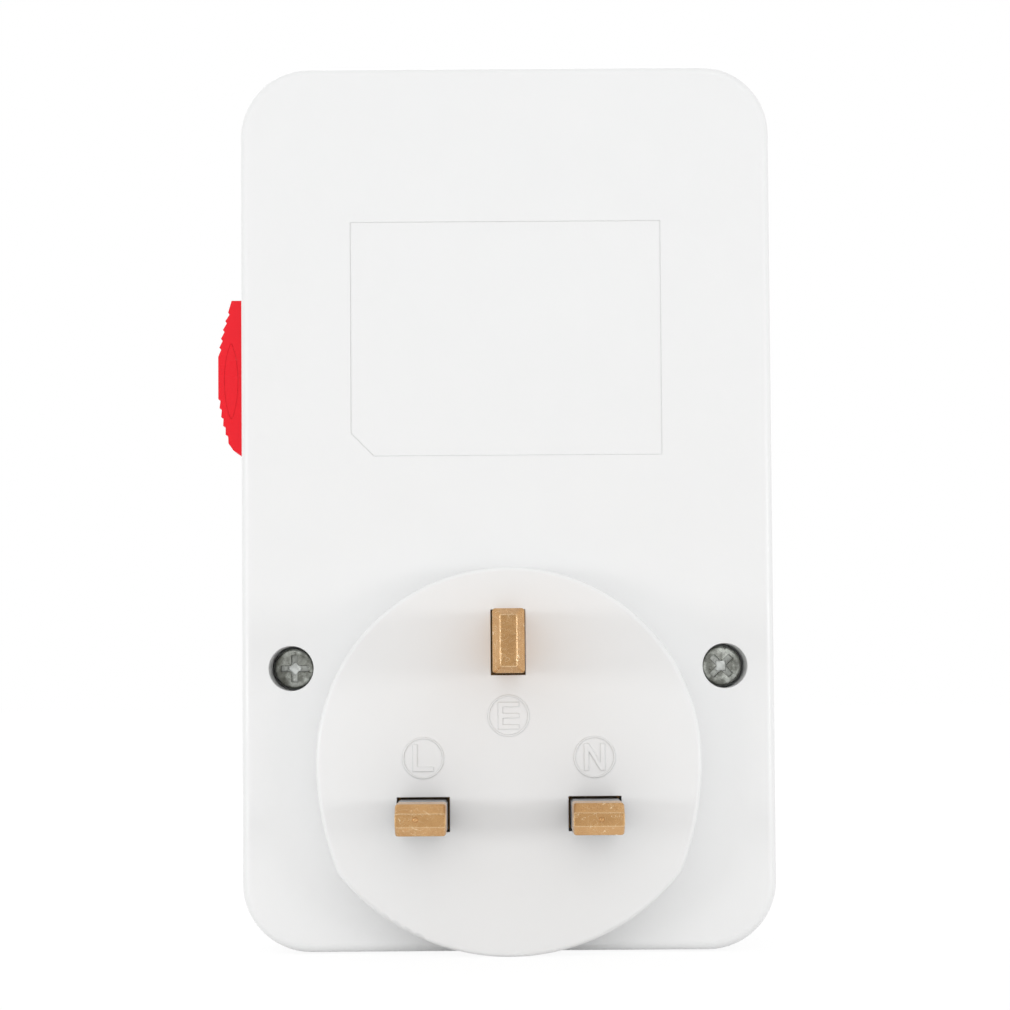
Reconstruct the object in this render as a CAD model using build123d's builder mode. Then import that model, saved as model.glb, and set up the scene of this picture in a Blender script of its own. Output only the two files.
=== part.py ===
from build123d import *
from math import acos, atan2, cos, hypot, pi, radians, sin, sqrt, tan
import os

# A plug-in mechanical timer: a 24 hour dial with push-in segments that switches a socket outlet.
# The origin is the centre of the plug's round boss, on the flat face that meets the wall socket.
# +X is to the right for someone who faces the timer, +Y goes into the wall and +Z is up.
# Depths are measured forwards from the plug face, so a depth of d lies at Y = -d. All sizes in mm.

# Case
boss_radius = 25.0
boss_foot_reach = 25.4
boss_step = 0.25
boss_side_radius = 39.4
boss_lower_arc_radius = 28.2
boss_shoulder_radius = 4.0
boss_edge_radius = 0.6
case_width = 70.0
case_top = 91.5
case_corner_radius = 9.0
case_wall = 2.0
back_depth = 6.0
parting_depth = 18.0
front_depth = 44.0
back_edge_radius = 1.2
front_edge_radius = 3.0
lip_height = 1.5
lip_clearance = 0.12

# Plug pins and the outlet's slots
pin_spacing = 22.2
pin_line_z = -7.0
earth_rise = 22.2
live_pin_width = 6.35
live_pin_height = 4.0
live_pin_length = 17.7
live_tip_flat = 1.7
earth_pin_width = 4.0
earth_pin_height = 8.0
earth_pin_length = 22.7
earth_tip_width = 2.1
earth_tip_height = 6.4
pin_tip_length = 1.6
pin_corner_radius = 0.4
sleeve_length = 9.2
sleeve_thickness = 0.6
pin_hole_clearance = 0.25
pin_block_depth = 8.0
pin_block_margin = 2.0
pin_flange_margin = 1.0
pin_flange_thickness = 1.0
mark_relief = 0.12
mark_ring_radius = 2.7
mark_ring_stroke = 0.22
mark_stroke = 0.6
mark_width = 2.7
mark_height = 3.5
earth_mark_drop = 9.5
live_mark_rise = 7.3
slot_clearance = 0.5
socket_block_thickness = 5.0
socket_block_side = 8.9
socket_block_below = 6.0
socket_block_above = 8.8

# Screws that hold the case together
screw_edge_gap = 6.5
screw_z = 12.0
screw_head_radius = 2.65
screw_head_height = 2.2
screw_edge_radius = 0.3
screw_well_depth = 7.0
screw_turns = (0, 45)
screw_shank_radius = 1.45
screw_length = 13.0
screw_clearance = 0.3
screw_seat_thickness = 1.5
pillar_wall_gap = 0.1
driver_slot_length = 3.6
driver_slot_width = 0.8
driver_slot_depth = 1.2
driver_centre_size = 1.3
driver_centre_depth = 1.5

# Label recess, left bare
label_width = 41.0
label_height = 31.0
label_chamfer = 3.0
label_recess = 0.12
label_below_dial = 1.6

# Dial
dial_top_gap = 34.5
dial_radius = 28.8
dial_gap = 0.5
dial_ring_clearance = 1.8
dial_recess = 0.2
dial_ring_inner_radius = 22.3
dial_web_drop = 3.8
dial_web_thickness = 1.5
dial_web_overlap = 0.5
dial_face_thickness = 0.5
hub_radius = 4.5
hub_lip = 1.0
clutch_thickness = 0.6
cap_radius = 7.0
cap_stand_out = 1.3
cap_skirt_clearance = 0.1
bezel_width = 2.0
bezel_height = 1.0
collar_length = 3.5
arrow_size = 1.4
arrow_relief = 0.4
arrow_tip_gap = 0.1
arbor_radius = 2.0
running_clearance = 0.05

# Segments, two to the hour
hours = 24
segments_per_hour = 2
segment_thickness = 1.9
segment_width = 4.0
segment_rim = 0.6
segment_clearance = 0.12
segment_tail = 2.5
segment_stand_out = 2.7
segment_stroke = 3.0
segment_chamfer = 0.4

# Gear train
gear_module = 0.48
pressure_angle = 20.0
tooth_addendum = 0.36
tooth_dedendum = 0.6
tooth_backlash = 0.12
tooth_root_step = 0.05
dial_gear_teeth = 72
pinion_teeth = 12
wheel_teeth = 48
dial_gear_thickness = 2.6
dial_gear_gap = 1.5
wheel_thickness = 2.0
wheel_gap = 0.5
washer_gap = 0.1
arbor_end_gap = 0.3
idler_arbor_radius = 1.0
idler_hub_radius = 2.2
idler_angle = 225.0
drive_angle = 100.0
drive_shaft_radius = 1.0
drive_pinion_overhang = 0.4
idler_arbor_stand_out = 0.7

# Mechanism plate and motor
plate_rise = 7.0
plate_thickness = 2.0
plate_edge_gap = 1.5
plate_corner_radius = 6.0
plate_bottom_drop = 30.0
plate_post_radius = 2.6
plate_post_inset = 4.5
plate_screw_radius = 0.95
plate_screw_head_radius = 2.0
plate_screw_head_height = 1.4
plate_screw_length = 9.0
plate_screw_slot_length = 3.0
plate_screw_slot_width = 0.5
motor_radius = 14.0
motor_seat_height = 4.0
motor_seat_margin = 4.0
motor_seat_bore = 0.5
motor_can_wall = 0.6
motor_offset_x = 5.35
motor_offset_z = 5.4
coil_inner_radius = 6.6
coil_gap = 0.5
coil_length = 7.0
rotor_radius = 5.6
rotor_shaft_radius = 0.8
terminal_width = 12.0
terminal_height = 5.0

# Switch and the follower that works it
follower_angle = -50.0
switch_width = 21.0
switch_height = 10.0
switch_seat_height = 3.0
switch_plate_gap = 3.0
switch_share_left = 0.65
switch_rib_width = 2.0
switch_rib_inset = 3.0
switch_drop = 0.2
button_radius = 1.4
button_rise = 5.5
button_bore_depth = 3.0
button_bottom_gap = 0.3
button_stand_out = 1.0
button_gap = 0.2
follower_width = 5.4
follower_plate_gap = 1.0
heel_half_height = 1.0
nose_above = 1.4
nose_below = 0.6
nose_slope = 2.0
notch_margin = 3.0
notch_side_gap = 0.9
follower_arm_thickness = 2.0
follower_gap = 0.3
follower_reach = 11.6
follower_hub_radius = 1.8
follower_pin_radius = 0.8
ear_thickness = 1.5
ear_gap = 0.3

# Override lever
lever_pivot_inset = 22.8
lever_pivot_drop = 5.5
lever_radius = 27.0
lever_thickness = 6.2
lever_side_clearance = 0.35
lever_flat = 2.9
lever_tooth_pitch = 1.24
lever_tooth_depth = 0.28
lever_teeth = 5
lever_tooth_slope = 0.8
lever_top_rise = 10.5
lever_top_reach = 25.0
lever_low_drop = 10.65
lever_low_reach = 23.7
lever_travel = 10.0
apron_outer_radius = 20.5
apron_thickness = 1.0
apron_angle_up = 32.0
apron_angle_down = 45.0
lever_hub_radius = 4.5
lever_arm_width = 8.0
ledge_length = 4.0
ledge_drop = 1.5
low_point_out = 1.1
low_point_up = 0.75
low_edge_rise = 2.0
lever_arm_thickness = 3.2
lever_arm_step = 1.85
lever_end_gap = 0.2
lever_pin_gap = 0.4
lever_slot_margin = 0.6
lever_pin_radius = 1.75
lever_post_radius = 3.5
finger_width = 3.0
finger_length = 13.0

# Contacts, strips and leads
contact_thickness = 0.6
contact_width = 5.0
contact_base_setback = 0.6
contact_shutter_gap = 1.7
contact_gap = 0.1
strip_width = 4.0
strip_thickness = 0.8
strip_tab_length = 2.0
lead_rise = 5.0
lead_radius = 0.5

# Shutter
shutter_front_gap = 0.3
shutter_thickness = 2.0
shutter_side = 4.9
shutter_below = 4.0
shutter_dial_gap = 1.2
shutter_ramp_height = 2.0
shutter_ramp_share = 0.6
shutter_travel = 6.5
shutter_side_gap = 0.3
shutter_window_clearance = 0.7
guide_thickness = 1.2
spring_radius = 1.3
spring_wire_radius = 0.3
spring_turns = 7
spring_gap = 0.1

# Places that follow from the sizes above
case_bottom = -boss_foot_reach + boss_step
case_height = case_top - case_bottom
case_centre_z = (case_top + case_bottom) / 2
case_half = case_width / 2
case_inner_bottom = case_bottom + case_wall
inner_half = case_half - case_wall
boss_wall = case_wall + 2 * boss_step
floor_depth = back_depth + case_wall
front_inner_depth = front_depth - case_wall
live_pin_x = pin_spacing / 2
earth_pin_z = pin_line_z + earth_rise
earth_mark_z = earth_pin_z - earth_mark_drop
live_mark_z = pin_line_z + live_mark_rise
screw_x = case_half - screw_edge_gap
pillar_radius = screw_edge_gap - case_wall - pillar_wall_gap
screw_head_depth = back_depth + screw_well_depth
screw_seat_depth = screw_head_depth + screw_head_height
pillar_joint_depth = screw_seat_depth + screw_seat_thickness
dial_z = case_top - dial_top_gap
label_z = dial_z - label_below_dial
bezel_inner_radius = dial_radius + dial_gap
bezel_outer_radius = bezel_inner_radius + bezel_width
plate_depth = parting_depth + plate_rise
plate_front_depth = plate_depth + plate_thickness
wheel_depth = plate_front_depth + wheel_gap
wheel_front_depth = wheel_depth + wheel_thickness
dial_gear_depth = wheel_front_depth + dial_gear_gap
dial_gear_front_depth = dial_gear_depth + dial_gear_thickness
hub_back_depth = dial_gear_front_depth + clutch_thickness
dial_back_depth = hub_back_depth + dial_ring_clearance
dial_front_depth = front_depth - dial_recess
dial_web_depth = dial_front_depth - dial_web_drop
web_front_depth = dial_web_depth + dial_web_thickness
cap_front_depth = front_depth + cap_stand_out
collar_depth = front_depth - collar_length
arbor_front_depth = web_front_depth - arbor_end_gap
segment_count = hours * segments_per_hour
segment_outer_radius = dial_radius - segment_rim - segment_clearance
segment_mid_radius = segment_outer_radius - segment_width / 2
segment_front_depth = dial_front_depth + segment_stand_out
segment_back_depth = dial_back_depth - segment_tail
segment_length = segment_front_depth - segment_back_depth
dial_pitch_radius = gear_module * dial_gear_teeth / 2
pinion_pitch_radius = gear_module * pinion_teeth / 2
wheel_pitch_radius = gear_module * wheel_teeth / 2
idler_x = (dial_pitch_radius + pinion_pitch_radius) * cos(radians(idler_angle))
idler_z = dial_z + (dial_pitch_radius + pinion_pitch_radius) * sin(radians(idler_angle))
drive_x = idler_x + (wheel_pitch_radius + pinion_pitch_radius) * cos(radians(drive_angle))
drive_z = idler_z + (wheel_pitch_radius + pinion_pitch_radius) * sin(radians(drive_angle))
plate_bottom = dial_z - plate_bottom_drop
plate_top = case_top - case_wall - plate_edge_gap
plate_half = inner_half - plate_edge_gap
plate_post_x = inner_half - plate_post_inset
plate_post_high_z = case_top - case_wall - plate_post_inset
plate_post_low_z = plate_bottom + plate_post_inset
motor_back_depth = floor_depth + motor_seat_height
motor_front_depth = plate_depth - motor_can_wall
motor_x = drive_x + motor_offset_x
motor_z = drive_z + motor_offset_z
terminal_bottom = motor_z - motor_radius - terminal_height
follower_x = segment_mid_radius * cos(radians(follower_angle))
follower_nose_z = dial_z + segment_mid_radius * sin(radians(follower_angle))
follower_pivot_z = follower_nose_z - follower_reach
follower_arm_depth = plate_depth + follower_plate_gap
follower_pivot_depth = follower_arm_depth + follower_arm_thickness / 2
follower_nose_depth = segment_back_depth - segment_stroke - follower_gap
switch_back_depth = floor_depth + switch_seat_height
switch_front_depth = plate_depth - switch_plate_gap
switch_left = follower_x - switch_width * switch_share_left
switch_right = switch_left + switch_width
switch_bottom = follower_pivot_z - follower_hub_radius - switch_drop
switch_top = switch_bottom + switch_height
button_z = follower_pivot_z + button_rise
lever_pivot_x = case_half - lever_pivot_inset
lever_pivot_z = dial_z - lever_pivot_drop
lever_back_depth = parting_depth + lever_side_clearance
lever_front_depth = lever_back_depth + lever_thickness
lever_arm_depth = lever_back_depth + lever_arm_step
pin_inner_depth = pin_block_depth + pin_flange_thickness
contact_base_depth = switch_front_depth - contact_base_setback
socket_block_depth = front_depth - socket_block_thickness
socket_block_width = pin_spacing + 2 * socket_block_side
socket_block_bottom = pin_line_z - socket_block_below
socket_block_top = earth_pin_z + socket_block_above
socket_block_middle = (socket_block_top + socket_block_bottom) / 2
shutter_front_depth = socket_block_depth - shutter_front_gap
shutter_back_depth = shutter_front_depth - shutter_thickness
shutter_width = pin_spacing + 2 * shutter_side
shutter_bottom = pin_line_z - shutter_below
shutter_top = dial_z - dial_radius - shutter_dial_gap
contact_front_depth = shutter_back_depth - contact_shutter_gap
spring_depth = shutter_front_depth - spring_radius - spring_wire_radius - spring_gap


def layer(depth, x=0.0, z=0.0):
    """The plane that faces forwards at a depth, with X across and Z up."""
    return Plane(origin=(x, -depth, z), x_dir=(1, 0, 0), z_dir=(0, -1, 0))


def rear_layer(x, z):
    """The plane on the plug face that faces the wall, as it is seen from behind."""
    return Plane(origin=(x, 0, z), x_dir=(-1, 0, 0), z_dir=(0, 1, 0))


def side_layer(x):
    """The plane across the case at x, with depth running forwards to the left and Z up."""
    return Plane(origin=(x, 0, 0), x_dir=(0, -1, 0), z_dir=(-1, 0, 0))


def case_sheet(depth, inset):
    """The case's outline at a depth, drawn in by an inset."""
    with BuildSketch(layer(depth, 0, case_centre_z)) as sheet:
        RectangleRounded(case_width - 2 * inset, case_height - 2 * inset, case_corner_radius - inset)
    return sheet.sketch


def boss_sheet(depth, inset):
    """The plug boss: a half circle above, with flatter sides, rounded shoulders and a wide arc below."""
    top_radius = boss_radius - inset
    side_radius = boss_side_radius - inset
    lower_radius = boss_lower_arc_radius - inset
    side_centre = boss_side_radius - boss_radius
    lower_centre = boss_lower_arc_radius - boss_foot_reach
    # The shoulder is where the side's circle meets the lower one
    between = hypot(side_centre, lower_centre)
    along = (side_radius**2 - lower_radius**2 + between**2) / (2 * between)
    across = sqrt(side_radius**2 - along**2)
    shoulder_x = (along * side_centre + across * lower_centre) / between - side_centre
    shoulder_z = (along * lower_centre - across * side_centre) / between
    with BuildSketch(layer(depth)) as sheet:
        with BuildLine():
            ThreePointArc((top_radius, 0), (0, top_radius), (-top_radius, 0))
            TangentArc((-top_radius, 0), (-shoulder_x, shoulder_z), tangent=(0, -1))
            ThreePointArc((-shoulder_x, shoulder_z), (0, inset - boss_foot_reach), (shoulder_x, shoulder_z))
            TangentArc((top_radius, 0), (shoulder_x, shoulder_z), tangent=(0, -1))
        make_face()
        fillet(sheet.vertices().group_by(Axis.Y)[0], boss_shoulder_radius - inset)
    return sheet.sketch


def gear_sheet(depth, x, z, teeth, turn):
    """A spur gear with involute flanks, and one tooth pointing along the turn angle."""
    pitch_radius = gear_module * teeth / 2
    base_radius = pitch_radius * cos(radians(pressure_angle))
    tip_radius = pitch_radius + tooth_addendum
    root_radius = pitch_radius - tooth_dedendum
    involute_at_pitch = tan(radians(pressure_angle)) - radians(pressure_angle)
    half_at_pitch = pi / (2 * teeth) - tooth_backlash / (2 * pitch_radius)
    flank = []
    flank_radius = max(base_radius, root_radius + tooth_root_step)
    for radius in (root_radius, flank_radius, pitch_radius, tip_radius):
        roll = acos(min(1.0, base_radius / radius))
        flank.append((radius, half_at_pitch + involute_at_pitch - (tan(roll) - roll)))
    points = []
    for tooth in range(teeth):
        middle = radians(turn) + 2 * pi * tooth / teeth
        for radius, half in flank:
            points.append((radius * cos(middle - half), radius * sin(middle - half)))
        for radius, half in reversed(flank):
            points.append((radius * cos(middle + half), radius * sin(middle + half)))
    with BuildSketch(layer(depth, x, z)) as sheet:
        with BuildLine():
            Polyline(*points, close=True)
        make_face()
    return sheet.sketch


os.makedirs("parts", exist_ok=True)


def write(piece, name):
    """Label a finished piece and write it to its file."""
    piece.part.label = name
    export_step(piece.part, "parts/" + name + ".step")


# Rear cover: the back half of the case, with the plug boss, the screw wells and the posts inside
live_places = [(live_pin_x, pin_line_z), (-live_pin_x, pin_line_z)]
screw_places = [(screw_x, screw_z), (-screw_x, screw_z)]
motor_seat_radius = rotor_shaft_radius + motor_seat_margin
with BuildPart() as rear_cover:
    extrude(case_sheet(back_depth, 0), amount=parting_depth - back_depth)
    fillet(rear_cover.edges().group_by(Axis.Y)[-1], back_edge_radius)
    extrude(boss_sheet(0, 0), amount=back_depth + back_edge_radius)
    fillet(rear_cover.edges().group_by(Axis.Y)[-1], boss_edge_radius)
    extrude(case_sheet(floor_depth, case_wall), amount=parting_depth - floor_depth, mode=Mode.SUBTRACT)
    extrude(boss_sheet(case_wall, boss_wall), amount=back_depth, mode=Mode.SUBTRACT)
    with BuildSketch(layer(parting_depth - lip_height - lip_clearance, 0, case_centre_z)):
        lip_inset = case_wall / 2 - lip_clearance
        rebate_width = case_width - 2 * lip_inset
        RectangleRounded(rebate_width, case_height - 2 * lip_inset, case_corner_radius - lip_inset)
    extrude(amount=lip_height + lip_clearance, mode=Mode.SUBTRACT)
    with BuildSketch(layer(case_wall / 2)):
        with Locations(*live_places):
            Rectangle(live_pin_width + 2 * pin_block_margin, live_pin_height + 2 * pin_block_margin)
        with Locations((0, earth_pin_z)):
            Rectangle(earth_pin_width + 2 * pin_block_margin, earth_pin_height + 2 * pin_block_margin)
    extrude(amount=pin_block_depth - case_wall / 2)
    with BuildSketch(layer(back_depth + case_wall / 2)):
        with Locations(*screw_places):
            Circle(pillar_radius)
        with Locations((lever_pivot_x, lever_pivot_z)):
            Circle(lever_post_radius)
        with Locations((motor_x, motor_z)):
            Circle(motor_seat_radius)
        rib_z = (switch_bottom + switch_top) / 2
        with Locations((switch_left + switch_rib_inset, rib_z), (switch_right - switch_rib_inset, rib_z)):
            Rectangle(switch_rib_width, switch_height - switch_rib_width)
    extrude(amount=switch_back_depth - back_depth - case_wall / 2)
    with BuildSketch(layer(switch_back_depth)):
        with Locations(*screw_places):
            Circle(pillar_radius)
    extrude(amount=pillar_joint_depth - switch_back_depth)
    with BuildSketch(layer(switch_back_depth, lever_pivot_x, lever_pivot_z)):
        Circle(lever_post_radius)
    extrude(amount=lever_arm_depth - lever_end_gap - switch_back_depth)
    with BuildSketch(layer(switch_back_depth, lever_pivot_x, lever_pivot_z)):
        Circle(lever_pin_radius)
    extrude(amount=plate_depth - lever_pin_gap - switch_back_depth)
    with BuildSketch(layer(switch_back_depth, motor_x, motor_z)):
        Circle(motor_seat_radius)
    extrude(amount=motor_back_depth - switch_back_depth)
    with BuildSketch(layer(floor_depth, motor_x, motor_z)):
        Circle(rotor_shaft_radius + motor_seat_bore)
    extrude(amount=motor_back_depth - floor_depth, mode=Mode.SUBTRACT)
    with BuildSketch(layer(back_depth)):
        with Locations(*screw_places):
            Circle(screw_head_radius + screw_clearance)
    extrude(amount=screw_seat_depth - back_depth, mode=Mode.SUBTRACT)
    with BuildSketch(layer(screw_seat_depth)):
        with Locations(*screw_places):
            Circle(screw_shank_radius + screw_clearance / 2)
    extrude(amount=screw_seat_thickness, mode=Mode.SUBTRACT)
    with BuildSketch(layer(0)):
        with Locations(*live_places):
            Rectangle(live_pin_width + 2 * pin_hole_clearance, live_pin_height + 2 * pin_hole_clearance)
        with Locations((0, earth_pin_z)):
            Rectangle(earth_pin_width + 2 * pin_hole_clearance, earth_pin_height + 2 * pin_hole_clearance)
    extrude(amount=pin_block_depth, mode=Mode.SUBTRACT)
    with BuildSketch(layer(back_depth, 0, label_z)) as label:
        Rectangle(label_width, label_height)
        chamfer(label.vertices().group_by(Axis.Y)[0].sort_by(Axis.X)[-1], label_chamfer)
    extrude(amount=label_recess, mode=Mode.SUBTRACT)
    for mark_x, mark_z in [(0, earth_mark_z), (live_pin_x, live_mark_z), (-live_pin_x, live_mark_z)]:
        with BuildSketch(rear_layer(mark_x, mark_z)):
            Circle(mark_ring_radius)
            Circle(mark_ring_radius - mark_ring_stroke, mode=Mode.SUBTRACT)
        extrude(amount=mark_relief)
    left = -mark_width / 2 + mark_stroke / 2
    with BuildSketch(rear_layer(0, earth_mark_z)):
        with Locations((left, 0)):
            Rectangle(mark_stroke, mark_height)
        bar_rise = mark_height / 2 - mark_stroke / 2
        with Locations((0, -bar_rise), (0, 0), (0, bar_rise)):
            Rectangle(mark_width, mark_stroke)
    extrude(amount=mark_relief)
    with BuildSketch(rear_layer(live_pin_x, live_mark_z)):
        with Locations((left, 0)):
            Rectangle(mark_stroke, mark_height)
        with Locations((0, -bar_rise)):
            Rectangle(mark_width, mark_stroke)
    extrude(amount=mark_relief)
    with BuildSketch(rear_layer(-live_pin_x, live_mark_z)):
        with Locations((left, 0), (-left, 0)):
            Rectangle(mark_stroke, mark_height)
        with BuildLine():
            Polyline(
                (-mark_width / 2, mark_height / 2),
                (-mark_width / 2 + mark_stroke, mark_height / 2),
                (mark_width / 2, -mark_height / 2),
                (mark_width / 2 - mark_stroke, -mark_height / 2),
                close=True,
            )
        make_face()
    extrude(amount=mark_relief)
write(rear_cover, "rear_cover")


# Plug pins: solid brass, with a black moulded sleeve let into the root of each live pin
live_size = (live_pin_width, live_pin_height)
earth_size = (earth_pin_width, earth_pin_height)


def pin(x, z, size, length, tip_size, sleeve):
    """A flat pin with a chamfered tip, a neck under its sleeve and a flange inside the plug."""
    width, height = size
    with BuildPart() as blade:
        with BuildSketch(layer(pin_tip_length - length, x, z)):
            RectangleRounded(width, height, pin_corner_radius)
        with BuildSketch(layer(-length, x, z)):
            RectangleRounded(tip_size[0], tip_size[1], pin_corner_radius / 2)
        loft()
        with BuildSketch(layer(pin_tip_length - length, x, z)):
            RectangleRounded(width, height, pin_corner_radius)
        extrude(amount=length - pin_tip_length + pin_block_depth)
        if sleeve:
            with BuildSketch(layer(-sleeve_length, x, z)):
                Rectangle(width + sleeve_thickness, height + sleeve_thickness)
                RectangleRounded(
                    width - 2 * sleeve_thickness,
                    height - 2 * sleeve_thickness,
                    pin_corner_radius,
                    mode=Mode.SUBTRACT,
                )
            extrude(amount=sleeve_length + pin_block_depth, mode=Mode.SUBTRACT)
        with BuildSketch(layer(pin_block_depth, x, z)):
            Rectangle(width + 2 * pin_flange_margin, height + 2 * pin_flange_margin)
        extrude(amount=pin_flange_thickness)
    return blade


live_tip = (live_pin_width, live_tip_flat)
earth_tip = (earth_tip_width, earth_tip_height)
line_pin = pin(live_pin_x, pin_line_z, live_size, live_pin_length, live_tip, True)
write(line_pin, "line_pin")
neutral_pin = pin(-live_pin_x, pin_line_z, live_size, live_pin_length, live_tip, True)
write(neutral_pin, "neutral_pin")
earth_pin = pin(0, earth_pin_z, earth_size, earth_pin_length, earth_tip, False)
write(earth_pin, "earth_pin")

with BuildPart() as pin_sleeves:
    with BuildSketch(layer(-sleeve_length)):
        with Locations(*live_places):
            RectangleRounded(live_pin_width, live_pin_height, pin_corner_radius)
            RectangleRounded(
                live_pin_width - 2 * sleeve_thickness,
                live_pin_height - 2 * sleeve_thickness,
                pin_corner_radius,
                mode=Mode.SUBTRACT,
            )
    extrude(amount=sleeve_length + pin_block_depth)
write(pin_sleeves, "pin_sleeves")

# Case screws: two cross-head screws at the bottom of the deep wells
with BuildPart() as case_screws:
    with BuildSketch(layer(screw_head_depth)):
        with Locations(*screw_places):
            Circle(screw_head_radius)
    extrude(amount=screw_head_height)
    fillet(case_screws.edges().group_by(Axis.Y)[-1], screw_edge_radius)
    with BuildSketch(layer(screw_seat_depth)):
        with Locations(*screw_places):
            Circle(screw_shank_radius)
    extrude(amount=screw_length)
    with BuildSketch(layer(screw_head_depth)):
        for place, turn in zip(screw_places, screw_turns):
            with Locations(place):
                Rectangle(driver_slot_length, driver_slot_width, rotation=turn)
                Rectangle(driver_slot_width, driver_slot_length, rotation=turn)
    extrude(amount=driver_slot_depth, mode=Mode.SUBTRACT)
    with BuildSketch(layer(screw_head_depth)):
        for place, turn in zip(screw_places, screw_turns):
            with Locations(place):
                Rectangle(driver_centre_size, driver_centre_size, rotation=turn + 45)
    extrude(amount=driver_centre_depth, mode=Mode.SUBTRACT)
write(case_screws, "case_screws")

# Front cover: the front half, with the dial opening, the three outlet slots and the posts inside
live_slot = (live_pin_width + 2 * slot_clearance, live_pin_height + 2 * slot_clearance)
earth_slot = (earth_pin_width + 2 * slot_clearance, earth_pin_height + 2 * slot_clearance)
plate_post_places = [
    (plate_post_x, plate_post_high_z),
    (-plate_post_x, plate_post_high_z),
    (plate_post_x, plate_post_low_z),
    (-plate_post_x, plate_post_low_z),
]
lever_slot_top = lever_pivot_z + lever_top_rise + lever_side_clearance
lever_sweep = atan2(lever_low_drop, lever_low_reach) + radians(lever_travel)
lever_sweep_drop = hypot(lever_low_drop, lever_low_reach) * sin(lever_sweep)
lever_slot_bottom = lever_pivot_z - lever_sweep_drop - lever_slot_margin
lever_slot_height = lever_slot_top - lever_slot_bottom
lever_slot_z = (lever_slot_top + lever_slot_bottom) / 2
with BuildPart() as front_cover:
    extrude(case_sheet(parting_depth, 0), amount=front_depth - parting_depth)
    fillet(front_cover.edges().group_by(Axis.Y)[0], front_edge_radius)
    cavity_length = front_inner_depth - parting_depth
    extrude(case_sheet(parting_depth, case_wall), amount=cavity_length, mode=Mode.SUBTRACT)
    lip_outline = case_sheet(parting_depth - lip_height, case_wall / 2)
    lip_hollow = case_sheet(parting_depth - lip_height, case_wall)
    extrude(lip_outline, amount=2 * lip_height)
    extrude(lip_hollow, amount=2 * lip_height, mode=Mode.SUBTRACT)
    with BuildSketch(layer(collar_depth, 0, dial_z)):
        Circle(bezel_inner_radius + bezel_width / 2)
    extrude(amount=front_depth - collar_depth)
    with BuildSketch(layer(front_depth, 0, dial_z)):
        Circle(bezel_outer_radius)
    extrude(amount=bezel_height)
    fillet(front_cover.edges().group_by(Axis.Y)[0], bezel_height / 2)
    with BuildSketch(layer(collar_depth, 0, dial_z)):
        Circle(bezel_inner_radius)
    extrude(amount=front_depth + bezel_height - collar_depth, mode=Mode.SUBTRACT)
    with BuildSketch(layer(front_depth, 0, dial_z + bezel_inner_radius + bezel_width / 2)):
        with BuildLine():
            tip = arrow_tip_gap - bezel_width / 2
            Polyline((0, tip), (arrow_size, tip + arrow_size), (-arrow_size, tip + arrow_size), close=True)
        make_face()
    extrude(amount=bezel_height + arrow_relief)
    with BuildSketch(layer(socket_block_depth, 0, socket_block_middle)):
        Rectangle(socket_block_width, socket_block_top - socket_block_bottom)
    extrude(amount=front_inner_depth - socket_block_depth + case_wall / 2)
    guide_x = shutter_width / 2 + shutter_side_gap + guide_thickness / 2
    with BuildSketch(layer(shutter_back_depth, 0, socket_block_middle)):
        with Locations((guide_x, 0), (-guide_x, 0)):
            Rectangle(guide_thickness, socket_block_top - socket_block_bottom)
    extrude(amount=socket_block_depth - shutter_back_depth)
    with BuildSketch(layer(socket_block_depth)):
        with Locations(*live_places):
            Rectangle(*live_slot)
        with Locations((0, earth_pin_z)):
            Rectangle(*earth_slot)
    extrude(amount=front_depth - socket_block_depth, mode=Mode.SUBTRACT)
    with BuildSketch(layer(pillar_joint_depth)):
        with Locations(*screw_places):
            Circle(pillar_radius)
            Circle(screw_shank_radius + running_clearance, mode=Mode.SUBTRACT)
    extrude(amount=front_inner_depth - pillar_joint_depth)
    with BuildSketch(layer(plate_front_depth)):
        with Locations(*plate_post_places):
            Circle(plate_post_radius)
            Circle(plate_screw_radius + running_clearance, mode=Mode.SUBTRACT)
    extrude(amount=front_inner_depth - plate_front_depth)
    with BuildSketch(layer(parting_depth - lip_height, inner_half - lip_height, lever_slot_z)):
        Rectangle(2 * case_wall + 2 * lip_height, lever_slot_height, align=(Align.MIN, Align.CENTER))
    extrude(amount=lever_front_depth + lever_side_clearance - parting_depth + lip_height, mode=Mode.SUBTRACT)
write(front_cover, "front_cover")

# Dial: a ring with a radial slot for every segment, on a thin web and a hub
with BuildPart() as dial:
    with BuildSketch(layer(dial_back_depth, 0, dial_z)):
        Circle(dial_radius)
        Circle(dial_ring_inner_radius, mode=Mode.SUBTRACT)
    extrude(amount=dial_front_depth - dial_back_depth)
    with BuildSketch(layer(dial_web_depth, 0, dial_z)):
        Circle(dial_ring_inner_radius + dial_web_overlap)
    extrude(amount=dial_web_thickness)
    with BuildSketch(layer(hub_back_depth, 0, dial_z)):
        Circle(hub_radius)
    extrude(amount=web_front_depth + hub_lip - hub_back_depth)
    with BuildSketch(layer(hub_back_depth, 0, dial_z)):
        Circle(arbor_radius + running_clearance)
    extrude(amount=web_front_depth - hub_back_depth, mode=Mode.SUBTRACT)
    with BuildSketch(layer(dial_back_depth, 0, dial_z)):
        with PolarLocations(segment_mid_radius, segment_count):
            Rectangle(segment_width + 2 * segment_clearance, segment_thickness + 2 * segment_clearance)
    extrude(amount=dial_front_depth - dial_back_depth, mode=Mode.SUBTRACT)
write(dial, "dial")

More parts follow.
